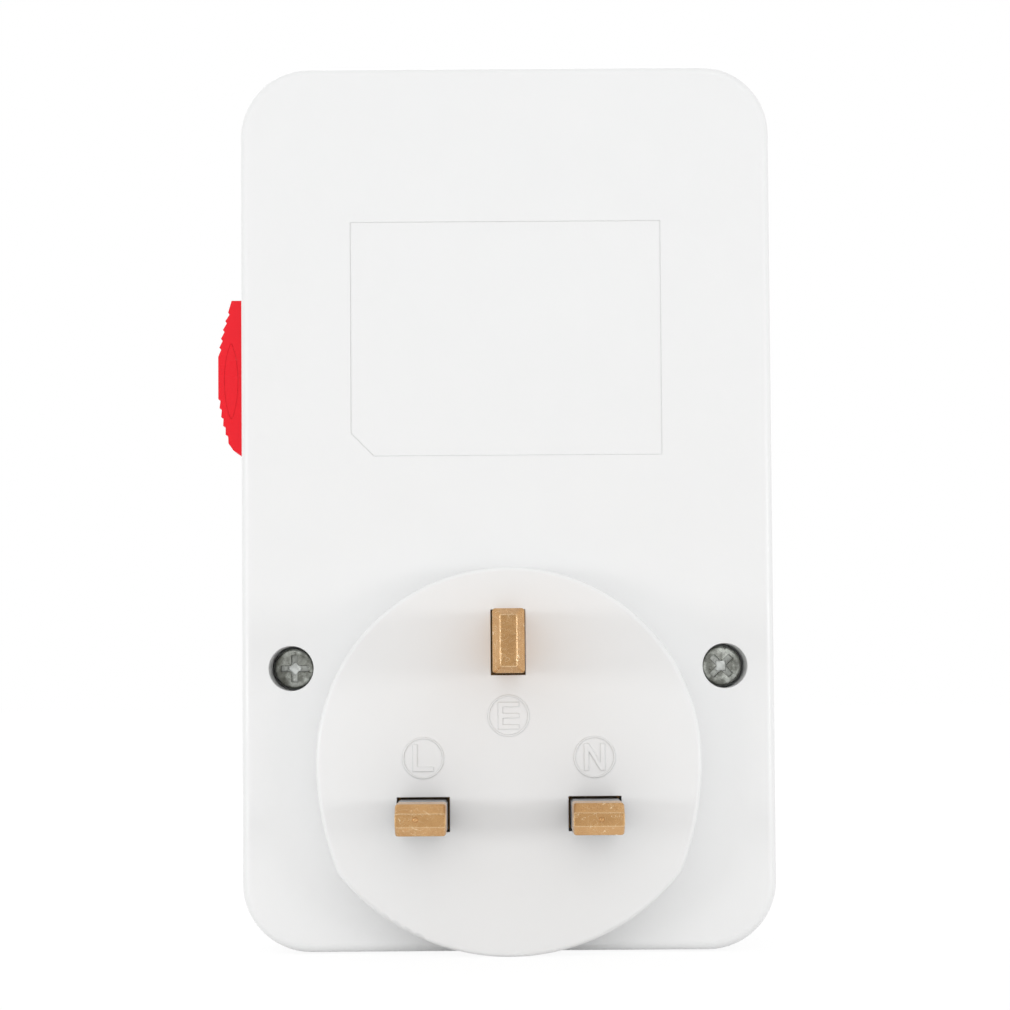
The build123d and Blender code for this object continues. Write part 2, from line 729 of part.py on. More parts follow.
# Dial face: the thin printed disc that lies on the web
face_radius = dial_ring_inner_radius - cap_skirt_clearance
with BuildPart() as dial_face:
    with BuildSketch(layer(web_front_depth, 0, dial_z)):
        Circle(face_radius)
        Circle(cap_radius + cap_skirt_clearance, mode=Mode.SUBTRACT)
    extrude(amount=dial_face_thickness)
write(dial_face, "dial_face")

# Centre cap: snaps over the front of the hub
with BuildPart() as dial_cap:
    with BuildSketch(layer(web_front_depth, 0, dial_z)):
        Circle(cap_radius)
    extrude(amount=cap_front_depth - web_front_depth)
    fillet(dial_cap.edges().group_by(Axis.Y)[0], dial_face_thickness)
    with BuildSketch(layer(web_front_depth, 0, dial_z)):
        Circle(hub_radius + cap_skirt_clearance / 2)
    extrude(amount=hub_lip, mode=Mode.SUBTRACT)
write(dial_cap, "dial_cap")

# Segments: two sliding tabs for each hour, each in its own slot of the dial
hour_step = 360 / hours
for hour in range(hours):
    with BuildPart() as segments:
        with BuildSketch(layer(segment_back_depth, 0, dial_z)):
            with PolarLocations(segment_mid_radius, segments_per_hour, hour * hour_step, hour_step):
                Rectangle(segment_width, segment_thickness)
        extrude(amount=segment_length)
        chamfer(segments.edges().group_by(Axis.Y)[0], segment_chamfer)
    write(segments, f"segments_{hour:02d}")

# Gears: the dial's gear, the idler's wheel and pinion in one piece, and the motor's drive pinion
with BuildPart() as dial_gear:
    extrude(gear_sheet(dial_gear_depth, 0, dial_z, dial_gear_teeth, idler_angle), amount=dial_gear_thickness)
    with BuildSketch(layer(dial_gear_depth, 0, dial_z)):
        Circle(arbor_radius + running_clearance)
    extrude(amount=dial_gear_thickness, mode=Mode.SUBTRACT)
write(dial_gear, "dial_gear")

with BuildPart() as clutch_washer:
    with BuildSketch(layer(dial_gear_front_depth, 0, dial_z)):
        Circle(hub_radius)
        Circle(arbor_radius + 2 * running_clearance, mode=Mode.SUBTRACT)
    extrude(amount=clutch_thickness)
write(clutch_washer, "clutch_washer")

pinion_gap_angle = idler_angle + 180 + 180 / pinion_teeth
with BuildPart() as idler_gear:
    extrude(gear_sheet(wheel_depth, idler_x, idler_z, wheel_teeth, drive_angle), amount=wheel_thickness)
    with BuildSketch(layer(wheel_front_depth, idler_x, idler_z)):
        Circle(idler_hub_radius)
    extrude(amount=dial_gear_depth - wheel_front_depth)
    pinion_outline = gear_sheet(dial_gear_depth, idler_x, idler_z, pinion_teeth, pinion_gap_angle)
    extrude(pinion_outline, amount=dial_gear_thickness)
    with BuildSketch(layer(wheel_depth, idler_x, idler_z)):
        Circle(idler_arbor_radius + running_clearance)
    extrude(amount=dial_gear_front_depth - wheel_depth, mode=Mode.SUBTRACT)
write(idler_gear, "idler_gear")

drive_gap_angle = drive_angle + 180 + 180 / pinion_teeth
drive_back_depth = motor_front_depth + washer_gap
drive_gear_depth = wheel_depth - drive_pinion_overhang / 2
drive_front_depth = wheel_front_depth + drive_pinion_overhang
with BuildPart() as drive_pinion:
    with BuildSketch(layer(drive_back_depth, drive_x, drive_z)):
        Circle(drive_shaft_radius)
    extrude(amount=drive_front_depth - drive_back_depth)
    drive_outline = gear_sheet(drive_gear_depth, drive_x, drive_z, pinion_teeth, drive_gap_angle)
    extrude(drive_outline, amount=drive_front_depth - drive_gear_depth)
write(drive_pinion, "drive_pinion")

# Arbors: steel pins fixed in the mechanism plate, on which the dial and the idler turn
with BuildPart() as dial_arbor:
    with BuildSketch(layer(plate_depth, 0, dial_z)):
        Circle(arbor_radius)
    extrude(amount=arbor_front_depth - plate_depth)
    with BuildSketch(layer(plate_front_depth, 0, dial_z)):
        Circle(hub_radius)
    extrude(amount=dial_gear_depth - washer_gap - plate_front_depth)
write(dial_arbor, "dial_arbor")

with BuildPart() as idler_arbor:
    with BuildSketch(layer(plate_depth, idler_x, idler_z)):
        Circle(idler_arbor_radius)
    extrude(amount=dial_gear_front_depth + idler_arbor_stand_out - plate_depth)
    with BuildSketch(layer(plate_front_depth, idler_x, idler_z)):
        Circle(idler_hub_radius)
    extrude(amount=wheel_depth - washer_gap - plate_front_depth)
write(idler_arbor, "idler_arbor")

# Mechanism plate: carries the arbors and the motor, with a notch for the follower
with BuildPart() as mechanism_plate:
    with BuildSketch(layer(plate_depth, 0, (plate_top + plate_bottom) / 2)):
        RectangleRounded(2 * plate_half, plate_top - plate_bottom, plate_corner_radius)
    extrude(amount=plate_thickness)
    with BuildSketch(layer(plate_depth)):
        with Locations((follower_x, plate_bottom)):
            notch_width = follower_width + 2 * ear_thickness + 2 * notch_side_gap
            notch_height = follower_nose_z + notch_margin - plate_bottom
            Rectangle(notch_width, notch_height, align=(Align.CENTER, Align.MIN))
        with Locations(*plate_post_places):
            Circle(plate_screw_radius + running_clearance)
        with Locations((0, dial_z)):
            Circle(arbor_radius)
        with Locations((idler_x, idler_z)):
            Circle(idler_arbor_radius)
        with Locations((drive_x, drive_z)):
            Circle(drive_shaft_radius + running_clearance)
    extrude(amount=plate_thickness, mode=Mode.SUBTRACT)
write(mechanism_plate, "mechanism_plate")

with BuildPart() as plate_screws:
    with BuildSketch(layer(plate_depth - plate_screw_head_height)):
        with Locations(*plate_post_places):
            Circle(plate_screw_head_radius)
    extrude(amount=plate_screw_head_height)
    with BuildSketch(layer(plate_depth)):
        with Locations(*plate_post_places):
            Circle(plate_screw_radius)
    extrude(amount=plate_screw_length)
    with BuildSketch(layer(plate_depth - plate_screw_head_height)):
        with Locations(*plate_post_places):
            Rectangle(plate_screw_slot_length, plate_screw_slot_width)
            Rectangle(plate_screw_slot_width, plate_screw_slot_length)
    extrude(amount=plate_screw_head_height / 2, mode=Mode.SUBTRACT)
write(plate_screws, "plate_screws")

# Motor: a shallow can with its coil, rotor and front cover, fixed behind the plate
coil_back_depth = motor_back_depth + motor_can_wall
with BuildPart() as motor_can:
    with BuildSketch(layer(motor_back_depth, motor_x, motor_z)):
        Circle(motor_radius)
    extrude(amount=motor_front_depth - motor_back_depth)
    with BuildSketch(layer(coil_back_depth, motor_x, motor_z)):
        Circle(motor_radius - motor_can_wall)
    extrude(amount=motor_front_depth - coil_back_depth, mode=Mode.SUBTRACT)
    with BuildSketch(layer(motor_back_depth, motor_x, motor_z)):
        Circle(rotor_shaft_radius + running_clearance)
    extrude(amount=motor_can_wall, mode=Mode.SUBTRACT)
    with BuildSketch(layer(motor_back_depth, motor_x, terminal_bottom)):
        Rectangle(terminal_width, motor_radius, align=(Align.CENTER, Align.MIN))
    extrude(amount=(motor_front_depth - motor_back_depth) / 2)
    with BuildSketch(layer(coil_back_depth, motor_x, motor_z)):
        Circle(motor_radius - motor_can_wall)
    extrude(amount=motor_front_depth - coil_back_depth, mode=Mode.SUBTRACT)
write(motor_can, "motor_can")

with BuildPart() as motor_cover:
    with BuildSketch(layer(motor_front_depth, motor_x, motor_z)):
        Circle(motor_radius)
        Circle(rotor_shaft_radius + running_clearance, mode=Mode.SUBTRACT)
    with BuildSketch(layer(motor_front_depth, drive_x, drive_z)) as output_hole:
        Circle(drive_shaft_radius + running_clearance)
    extrude(motor_cover.pending_faces[0], amount=motor_can_wall)
    extrude(output_hole.sketch, amount=motor_can_wall, mode=Mode.SUBTRACT)
write(motor_cover, "motor_cover")

with BuildPart() as motor_coil:
    with BuildSketch(layer(coil_back_depth, motor_x, motor_z)):
        Circle(motor_radius - motor_can_wall)
        Circle(coil_inner_radius, mode=Mode.SUBTRACT)
    extrude(amount=coil_length)
write(motor_coil, "motor_coil")

with BuildPart() as motor_rotor:
    with BuildSketch(layer(coil_back_depth + coil_gap, motor_x, motor_z)):
        Circle(rotor_radius)
    extrude(amount=coil_length - coil_gap)
    with BuildSketch(layer(motor_back_depth + washer_gap, motor_x, motor_z)):
        Circle(rotor_shaft_radius)
    extrude(amount=motor_front_depth + motor_can_wall / 2 - motor_back_depth)
write(motor_rotor, "motor_rotor")

# Switch: a moulded block with two ears, the sprung button and the pin that the follower swings on
ear_x = follower_width / 2 + ear_gap + ear_thickness / 2
with BuildPart() as switch_body:
    with BuildSketch(layer(switch_back_depth, switch_left, switch_bottom)):
        Rectangle(switch_width, switch_height, align=(Align.MIN, Align.MIN))
    extrude(amount=switch_front_depth - switch_back_depth)
    with BuildSketch(layer(switch_front_depth, follower_x, follower_pivot_z)):
        with Locations((ear_x, 0), (-ear_x, 0)):
            Rectangle(ear_thickness, 2 * follower_hub_radius)
    extrude(amount=follower_pivot_depth + follower_hub_radius - switch_front_depth)
    with BuildSketch(side_layer(follower_x)):
        with Locations((follower_pivot_depth, follower_pivot_z)):
            Circle(follower_pin_radius)
    extrude(amount=ear_x + ear_thickness, both=True, mode=Mode.SUBTRACT)
    with BuildSketch(layer(switch_front_depth - button_bore_depth, follower_x, button_z)):
        Circle(button_radius + running_clearance)
    extrude(amount=button_bore_depth, mode=Mode.SUBTRACT)
write(switch_body, "switch_body")

button_back_depth = switch_front_depth - button_bore_depth + button_bottom_gap
with BuildPart() as switch_button:
    with BuildSketch(layer(button_back_depth, follower_x, button_z)):
        Circle(button_radius)
    extrude(amount=switch_front_depth + button_stand_out - button_back_depth)
write(switch_button, "switch_button")

with BuildPart() as follower_pin:
    with BuildSketch(side_layer(follower_x)):
        with Locations((follower_pivot_depth, follower_pivot_z)):
            Circle(follower_pin_radius)
    extrude(amount=ear_x + ear_thickness / 2, both=True)
write(follower_pin, "follower_pin")

heel_depth = switch_front_depth + button_stand_out + button_gap
arm_front_depth = follower_arm_depth + follower_arm_thickness
with BuildPart() as cam_follower:
    with BuildSketch(side_layer(follower_x)):
        with Locations((follower_pivot_depth, follower_pivot_z)):
            Circle(follower_hub_radius)
        with BuildLine():
            Polyline(
                (follower_arm_depth, follower_pivot_z),
                (follower_arm_depth, button_z - heel_half_height),
                (heel_depth, button_z - heel_half_height),
                (heel_depth, button_z + heel_half_height),
                (follower_arm_depth, button_z + heel_half_height),
                (follower_arm_depth, follower_nose_z + nose_above),
                (follower_nose_depth, follower_nose_z + nose_above),
                (follower_nose_depth, follower_nose_z - nose_below),
                (arm_front_depth, follower_nose_z - nose_below - nose_slope),
                (arm_front_depth, follower_pivot_z),
                close=True,
            )
        make_face()
        with Locations((follower_pivot_depth, follower_pivot_z)):
            Circle(follower_pin_radius + running_clearance, mode=Mode.SUBTRACT)
    extrude(amount=follower_width / 2, both=True)
write(cam_follower, "cam_follower")

# Override lever: a red sector that swings on a post of the rear cover and comes out of the side
with BuildPart() as override_lever:
    with BuildSketch(layer(lever_back_depth, lever_pivot_x, lever_pivot_z)):
        with BuildLine():
            apron_inner = apron_outer_radius - apron_thickness
            up = radians(apron_angle_up)
            down = radians(-apron_angle_down)
            outer_up = (apron_outer_radius * cos(up), apron_outer_radius * sin(up))
            outer_down = (apron_outer_radius * cos(down), apron_outer_radius * sin(down))
            inner_up = (apron_inner * cos(up), apron_inner * sin(up))
            inner_down = (apron_inner * cos(down), apron_inner * sin(down))
            ThreePointArc(outer_down, (apron_outer_radius, 0), outer_up)
            Line(outer_up, inner_up)
            ThreePointArc(inner_up, (apron_inner, 0), inner_down)
            Line(inner_down, outer_down)
        make_face()
        block_inner = apron_inner + apron_thickness / 2
        flat_angle = atan2(lever_flat, lever_radius)
        tooth_angle = lever_tooth_pitch / lever_radius
        valley_radius = lever_radius - lever_tooth_depth
        teeth_rows = []
        for side, valley_share in ((1, lever_tooth_slope), (-1, 1 - lever_tooth_slope)):
            row = []
            for tooth in range(lever_teeth):
                start = flat_angle + tooth * tooth_angle
                row.append((lever_radius * cos(start), side * lever_radius * sin(start)))
                valley = start + valley_share * tooth_angle
                row.append((valley_radius * cos(valley), side * valley_radius * sin(valley)))
            end = flat_angle + lever_teeth * tooth_angle
            row.append((lever_radius * cos(end), side * lever_radius * sin(end)))
            teeth_rows.append(row)
        upper, lower = teeth_rows
        inner_top_z = lever_top_rise - ledge_drop
        inner_top = (sqrt(block_inner**2 - inner_top_z**2), inner_top_z)
        ledge_start = (lever_top_reach - ledge_length, lever_top_rise)
        outline = [inner_top, ledge_start, (lever_top_reach, lever_top_rise)]
        outline += upper[::-1] + lower
        low_edge_z = low_edge_rise - lever_low_drop
        outline += [(lever_low_reach + low_point_out, low_point_up - lever_low_drop)]
        outline += [(lever_low_reach, -lever_low_drop), (sqrt(block_inner**2 - low_edge_z**2), low_edge_z)]
        with BuildLine():
            Polyline(*outline, close=True)
        make_face()
    extrude(amount=lever_thickness)
    with BuildSketch(layer(lever_arm_depth, lever_pivot_x, lever_pivot_z)):
        Circle(lever_hub_radius)
        Rectangle(block_inner, lever_arm_width, align=(Align.MIN, Align.CENTER))
        Rectangle(finger_width, finger_length, align=(Align.CENTER, Align.MAX))
    extrude(amount=lever_arm_thickness)
    with BuildSketch(layer(lever_arm_depth, lever_pivot_x, lever_pivot_z)):
        Circle(lever_pin_radius + running_clearance)
    extrude(amount=lever_arm_thickness, mode=Mode.SUBTRACT)
write(override_lever, "override_lever")

# Outlet contacts: each is a folded clip, and the earth and neutral ones stand on their pins
leaf_length = contact_front_depth - contact_base_depth


def clip(x, z, gap, across):
    """A folded spring clip that grips a pin of the given thickness, across or along X."""
    leaf = gap / 2 + contact_gap + contact_thickness / 2
    with BuildPart() as folded:
        with BuildSketch(layer(contact_base_depth, x, z)):
            if across:
                Rectangle(2 * leaf + contact_thickness, contact_width)
            else:
                Rectangle(contact_width, 2 * leaf + contact_thickness)
        extrude(amount=contact_thickness)
        with BuildSketch(layer(contact_base_depth, x, z)):
            if across:
                with Locations((leaf, 0), (-leaf, 0)):
                    Rectangle(contact_thickness, contact_width)
            else:
                with Locations((0, leaf), (0, -leaf)):
                    Rectangle(contact_width, contact_thickness)
        extrude(amount=leaf_length)
    return folded.part


def post(x, z):
    """The upright strip between a pin's flange and the base of its clip."""
    with BuildPart() as upright:
        with BuildSketch(layer(pin_inner_depth, x, z)):
            Rectangle(strip_width, strip_thickness)
        extrude(amount=contact_base_depth - pin_inner_depth)
    return upright.part


with BuildPart() as earth_contact:
    add(clip(0, earth_pin_z, earth_pin_width, True))
    add(post(0, earth_pin_z))
write(earth_contact, "earth_contact")

with BuildPart() as neutral_contact:
    add(clip(-live_pin_x, pin_line_z, live_pin_height, False))
    add(post(-live_pin_x, pin_line_z))
write(neutral_contact, "neutral_contact")

with BuildPart() as line_contact:
    add(clip(live_pin_x, pin_line_z, live_pin_height, False))
write(line_contact, "line_contact")

# Strips: one feeds the switch from the line pin, and the other runs on to the line contact
strip_bottom = pin_line_z - strip_width / 2
with BuildPart() as feed_strip:
    with BuildSketch(layer(pin_inner_depth, live_pin_x, strip_bottom)):
        Rectangle(strip_width, switch_bottom - strip_bottom, align=(Align.CENTER, Align.MIN))
    extrude(amount=strip_thickness)
    with BuildSketch(layer(pin_inner_depth, live_pin_x, switch_bottom - strip_thickness)):
        Rectangle(strip_width, strip_thickness, align=(Align.CENTER, Align.MIN))
    extrude(amount=switch_back_depth + strip_tab_length - pin_inner_depth)
write(feed_strip, "feed_strip")

with BuildPart() as load_strip:
    with BuildSketch(layer(contact_base_depth - strip_thickness, live_pin_x, strip_bottom)):
        Rectangle(strip_width, switch_bottom - strip_bottom, align=(Align.CENTER, Align.MIN))
    extrude(amount=strip_thickness)
write(load_strip, "load_strip")

# Motor leads: two thin insulated wires from the strips to the motor's terminal block
lead_depth = pin_inner_depth + lead_rise
feed_lead_depth = pin_inner_depth + strip_thickness / 2
lead_turn_radius = 2.0
lead_straight = 4.0
neutral_lead_x = motor_x - terminal_width / 4
feed_lead_x = motor_x + terminal_width / 4
strip_edge_x = live_pin_x - strip_width / 2
neutral_route = [
    (-live_pin_x, -lead_depth, pin_line_z + strip_thickness / 2),
    (-live_pin_x, -lead_depth, screw_z),
    (neutral_lead_x, -lead_depth, switch_top),
    (neutral_lead_x, -lead_depth, terminal_bottom),
]
feed_route = [
    (strip_edge_x, -feed_lead_depth, screw_z),
    (strip_edge_x - lead_straight, -feed_lead_depth, screw_z),
    (strip_edge_x - lead_straight, -feed_lead_depth, switch_bottom),
    (feed_lead_x, -lead_depth, terminal_bottom - lead_straight),
    (feed_lead_x, -lead_depth, terminal_bottom),
]
with BuildPart() as motor_leads:
    for route in (neutral_route, feed_route):
        with BuildLine() as path:
            FilletPolyline(*route, radius=lead_turn_radius)
        with BuildSketch(Plane(origin=path.line @ 0, z_dir=path.line % 0)):
            Circle(lead_radius)
        sweep(path=path.line)
write(motor_leads, "motor_leads")

# Shutter: a sprung plate behind the live slots, pushed down by the earth pin of a plug
window_height = live_pin_height + 2 * shutter_window_clearance
window_width = live_pin_width + 2 * shutter_window_clearance
earth_window_height = earth_pin_height + 2 * shutter_window_clearance
earth_window_width = earth_pin_width + 2 * shutter_window_clearance
with BuildPart() as shutter:
    with BuildSketch(layer(shutter_back_depth)):
        with Locations((0, shutter_bottom)):
            body_height = socket_block_top - shutter_bottom
            Rectangle(shutter_width, body_height, align=(Align.CENTER, Align.MIN))
            tongue_height = shutter_top - shutter_bottom
            Rectangle(shutter_width / 3, tongue_height, align=(Align.CENTER, Align.MIN))
    extrude(amount=shutter_thickness)
    with BuildSketch(layer(shutter_back_depth, 0, shutter_travel)):
        with Locations(*live_places):
            Rectangle(window_width, window_height)
        with Locations((0, earth_pin_z)):
            Rectangle(earth_window_width, earth_window_height - shutter_ramp_height)
    extrude(amount=shutter_thickness, mode=Mode.SUBTRACT)
    ramp_z = earth_pin_z + shutter_travel - (earth_window_height - shutter_ramp_height) / 2
    ramp_edges = shutter.edges().filter_by(Axis.X).group_by(Axis.Y)[0]
    ramp_edge = ramp_edges.sort_by_distance((0, -shutter_front_depth, ramp_z))[0]
    chamfer(ramp_edge, shutter_thickness * shutter_ramp_share)
write(shutter, "shutter")

spring_height = shutter_bottom - case_inner_bottom - 2 * spring_wire_radius
with BuildPart() as shutter_spring:
    with BuildLine(Plane(origin=(0, -spring_depth, case_inner_bottom + spring_wire_radius))) as coil:
        Helix(spring_height / spring_turns, spring_height, spring_radius)
    with BuildSketch(Plane(origin=coil.line @ 0, z_dir=coil.line % 0)):
        Circle(spring_wire_radius)
    sweep(path=coil.line, is_frenet=True)
write(shutter_spring, "shutter_spring")
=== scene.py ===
from math import cos, pi, radians, sin

import bmesh
import bpy
from mathutils import Matrix, Vector


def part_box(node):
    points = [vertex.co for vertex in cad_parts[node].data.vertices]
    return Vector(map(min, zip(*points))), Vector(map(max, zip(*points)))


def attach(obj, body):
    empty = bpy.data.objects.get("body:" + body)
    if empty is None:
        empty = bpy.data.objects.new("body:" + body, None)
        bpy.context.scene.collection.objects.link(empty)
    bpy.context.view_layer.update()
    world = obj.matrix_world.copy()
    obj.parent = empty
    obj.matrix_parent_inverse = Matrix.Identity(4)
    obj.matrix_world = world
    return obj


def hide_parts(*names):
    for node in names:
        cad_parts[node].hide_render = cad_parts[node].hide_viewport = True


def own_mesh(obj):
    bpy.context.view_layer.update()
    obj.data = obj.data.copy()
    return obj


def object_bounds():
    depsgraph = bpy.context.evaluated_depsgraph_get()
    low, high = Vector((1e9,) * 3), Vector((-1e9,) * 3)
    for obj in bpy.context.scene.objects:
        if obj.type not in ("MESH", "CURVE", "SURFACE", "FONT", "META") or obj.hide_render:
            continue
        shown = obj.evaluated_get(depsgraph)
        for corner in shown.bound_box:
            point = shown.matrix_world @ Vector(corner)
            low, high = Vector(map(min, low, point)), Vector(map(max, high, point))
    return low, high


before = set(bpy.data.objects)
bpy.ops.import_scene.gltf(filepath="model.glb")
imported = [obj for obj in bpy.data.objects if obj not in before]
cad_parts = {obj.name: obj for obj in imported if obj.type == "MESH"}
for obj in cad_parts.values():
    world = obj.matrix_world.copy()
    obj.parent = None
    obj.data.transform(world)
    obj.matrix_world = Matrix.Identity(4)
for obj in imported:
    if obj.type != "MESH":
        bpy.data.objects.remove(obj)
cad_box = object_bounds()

# A plug-in mechanical timer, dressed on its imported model. Lengths are in metres, and mm is one millimetre.
# The timer plugs in towards +Y, so the dial faces -Y, and the photograph looks at the plug side.
mm = 0.001


# Camera
# The photograph is taken from behind, almost square on, from nearly half a metre away.
# The camera is about as high as the plug boss, looks up by a few degrees and leans a little.
def in_scene(name, data):
    """Makes an object from its data and links it to the scene."""
    made = bpy.data.objects.new(name, data)
    bpy.context.scene.collection.objects.link(made)
    return made


camera_data = bpy.data.cameras.new("camera")
camera_data.sensor_width = 36.0
camera_data.lens = 116.5
camera = in_scene("camera", camera_data)
camera.location = (1.2 * mm, 424 * mm, 11.2 * mm)
camera.rotation_euler = (radians(92.945), radians(0.40), radians(179.895))
bpy.context.scene.camera = camera


# Rear cover
# The back half of the case, moulded in white plastic with a semi-gloss skin.
# It carries the round plug boss, the raised pin letters, the two screw wells and the bare label recess.
def put(tree, kind, inputs=None, **settings):
    """Adds a node to a tree. Each input is a plain value, or a socket that it is linked from."""
    made = tree.nodes.new(kind)
    for name, value in settings.items():
        setattr(made, name, value)
    for name, value in (inputs or {}).items():
        if isinstance(value, bpy.types.NodeSocket):
            tree.links.new(value, made.inputs[name])
        else:
            made.inputs[name].default_value = value
    return made


def on_object(tree):
    """The place on the object, in metres, in which every pattern is laid out."""
    return put(tree, "ShaderNodeTexCoord").outputs["Object"]


def noise(tree, place, scale, detail, roughness=0.5, distortion=0.0):
    """A cloudy pattern between 0 and 1. Its scale is in patches per metre."""
    inputs = {
        "Vector": place,
        "Scale": scale,
        "Detail": detail,
        "Roughness": roughness,
        "Distortion": distortion,
    }
    return put(tree, "ShaderNodeTexNoise", inputs).outputs["Fac"]


def calculated(tree, operation, *values):
    """The result of one sum on numbers or sockets."""
    return put(tree, "ShaderNodeMath", dict(enumerate(values)), operation=operation).outputs[0]


def spread(tree, value, between=(0.0, 1.0), gives=(0.0, 1.0)):
    """Carries a value from one range over to another, and stops at the ends of that one."""
    inputs = {
        "Value": value,
        "From Min": between[0],
        "From Max": between[1],
        "To Min": gives[0],
        "To Max": gives[1],
    }
    return put(tree, "ShaderNodeMapRange", inputs).outputs["Result"]


def mixed(tree, share, first, second):
    """The first colour with a share of the second."""
    inputs = {"Fac": share, "Color1": first, "Color2": second}
    return put(tree, "ShaderNodeMixRGB", inputs).outputs["Color"]


def relief_on(tree, height, strength, depth, rounding=0.0):
    """The normal of a surface with a pattern in relief. A rounding makes its sharp edges look soft."""
    inputs = {"Strength": strength, "Distance": depth, "Height": height}
    if rounding:
        inputs["Normal"] = put(tree, "ShaderNodeBevel", {"Radius": rounding}, samples=4).outputs["Normal"]
    return put(tree, "ShaderNodeBump", inputs).outputs["Normal"]


def new_finish(name, inputs):
    """A shader group with named inputs, which puts out a surface's colour, roughness and height."""
    group = bpy.data.node_groups.new(name, "ShaderNodeTree")
    for label, kind, value in inputs:
        socket = group.interface.new_socket(label, in_out="INPUT", socket_type=kind)
        socket.default_value = value
    group.interface.new_socket("Colour", in_out="OUTPUT", socket_type="NodeSocketColor")
    group.interface.new_socket("Roughness", in_out="OUTPUT", socket_type="NodeSocketFloat")
    group.interface.new_socket("Height", in_out="OUTPUT", socket_type="NodeSocketFloat")
    return group, put(group, "NodeGroupInput").outputs


def new_material(name):
    """An empty material and its node tree."""
    material = bpy.data.materials.new(name)
    material.use_nodes = True
    material.node_tree.nodes.clear()
    return material, material.node_tree


def add_shader(tree, inputs):
    """Puts the shader and the output in a material. Each input is a plain value or a socket."""
    shader = put(tree, "ShaderNodeBsdfPrincipled", inputs)
    put(tree, "ShaderNodeOutputMaterial", {"Surface": shader.outputs["BSDF"]})


def paint(material, *nodes):
    """Gives CAD nodes a finish through their material slots."""
    for node in nodes:
        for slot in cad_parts[node].material_slots:
            slot.material = material


skin, skin_in = new_finish(
    "moulded skin",
    [
        ("Colour", "NodeSocketColor", (0.8, 0.8, 0.8, 1.0)),
        ("Flow Colour", "NodeSocketColor", (0.7, 0.7, 0.7, 1.0)),
        ("Flow Amount", "NodeSocketFloat", 0.5),
        ("Roughness", "NodeSocketFloat", 0.35),
        ("Grain Scale", "NodeSocketFloat", 3000.0),
    ],
)
skin_place = on_object(skin)
skin_flow = noise(skin, skin_place, scale=42.0, detail=3.0, distortion=1.2)
skin_share = calculated(skin, "MULTIPLY", skin_flow, skin_in["Flow Amount"])
skin_colour = mixed(skin, skin_share, skin_in["Colour"], skin_in["Flow Colour"])
skin_handling = noise(skin, skin_place, scale=160.0, detail=5.0)
skin_polish = spread(skin, skin_handling, between=(0.3, 0.7), gives=(-0.06, 0.08))
skin_gloss = calculated(skin, "ADD", skin_in["Roughness"], skin_polish)
skin_grain = noise(skin, skin_place, scale=skin_in["Grain Scale"], detail=2.0)
put(skin, "NodeGroupOutput", {"Colour": skin_colour, "Roughness": skin_gloss, "Height": skin_grain})


def moulded(
    name, colour, flow_colour, flow=0.5, roughness=0.35, grain=3000.0, relief=0.15, coat=0.0, shine=0.5
):
    """Moulded plastic: faint flow marks, the tool's fine grain, uneven polish and softened edges."""
    material, tree = new_material(name)
    skin_inputs = {
        "Colour": (*colour, 1.0),
        "Flow Colour": (*flow_colour, 1.0),
        "Flow Amount": flow,
        "Roughness": roughness,
        "Grain Scale": grain,
    }
    surface = put(tree, "ShaderNodeGroup", skin_inputs, node_tree=skin).outputs
    shader_inputs = {
        "Base Color": surface["Colour"],
        "Roughness": surface["Roughness"],
        "Normal": relief_on(tree, surface["Height"], strength=relief, depth=0.05 * mm, rounding=0.18 * mm),
        "Coat Weight": coat,
        "Specular IOR Level": shine,
    }
    add_shader(tree, shader_inputs)
    return material


case_white = moulded(
    "case_white",
    colour=(0.866, 0.869, 0.868),
    flow_colour=(0.83, 0.834, 0.834),
    roughness=0.34,
    coat=0.1,
)
paint(case_white, "rear_cover")


# Plug pins and sleeves
# Three solid brass blades, drawn to section, cut off and chamfered at the tip, then riveted in the boss.
# Black plastic sleeves are moulded round the roots of the two live pins.
def measured(tree, operation, *vectors):
    """One number from vectors, such as a length or a distance."""
    return put(tree, "ShaderNodeVectorMath", dict(enumerate(vectors)), operation=operation).outputs["Value"]


metal, metal_in = new_finish(
    "worked metal",
    [
        ("Colour", "NodeSocketColor", (0.6, 0.6, 0.6, 1.0)),
        ("Tarnish", "NodeSocketColor", (0.4, 0.4, 0.4, 1.0)),
        ("Edge Colour", "NodeSocketColor", (0.9, 0.9, 0.9, 1.0)),
        ("Roughness", "NodeSocketFloat", 0.3),
        ("Grain Direction", "NodeSocketVector", (6000.0, 300.0, 6000.0)),
        ("Edge Width", "NodeSocketFloat", 0.2 * mm),
    ],
)
metal_place = on_object(metal)
metal_stretch = put(
    metal,
    "ShaderNodeVectorMath",
    {0: metal_place, 1: metal_in["Grain Direction"]},
    operation="MULTIPLY",
)
metal_streaks = noise(metal, metal_stretch.outputs["Vector"], scale=1.0, detail=4.0)
metal_stain = noise(metal, metal_place, scale=260.0, detail=5.0, roughness=0.65, distortion=0.8)
metal_stained = spread(metal, metal_stain, between=(0.42, 0.68), gives=(0.0, 0.8))
metal_tarnished = mixed(metal, metal_stained, metal_in["Colour"], metal_in["Tarnish"])
# Edge Colour is painted along the edges: partly wear, and partly painted light, a painted highlight on bright
# metal and a painted dark outline of shade on the screws.
metal_soft_edge = put(metal, "ShaderNodeBevel", {"Radius": metal_in["Edge Width"]}, samples=4)
metal_true_face = put(metal, "ShaderNodeNewGeometry")
metal_facing = measured(
    metal,
    "DOT_PRODUCT",
    metal_soft_edge.outputs["Normal"],
    metal_true_face.outputs["Normal"],
)
metal_edge = spread(metal, metal_facing, between=(0.99, 0.88), gives=(0.0, 0.85))
metal_edge_light_and_wear = mixed(metal, metal_edge, metal_tarnished, metal_in["Edge Colour"])
metal_scratch_field = noise(metal, metal_place, scale=420.0, detail=1.0, distortion=2.5)
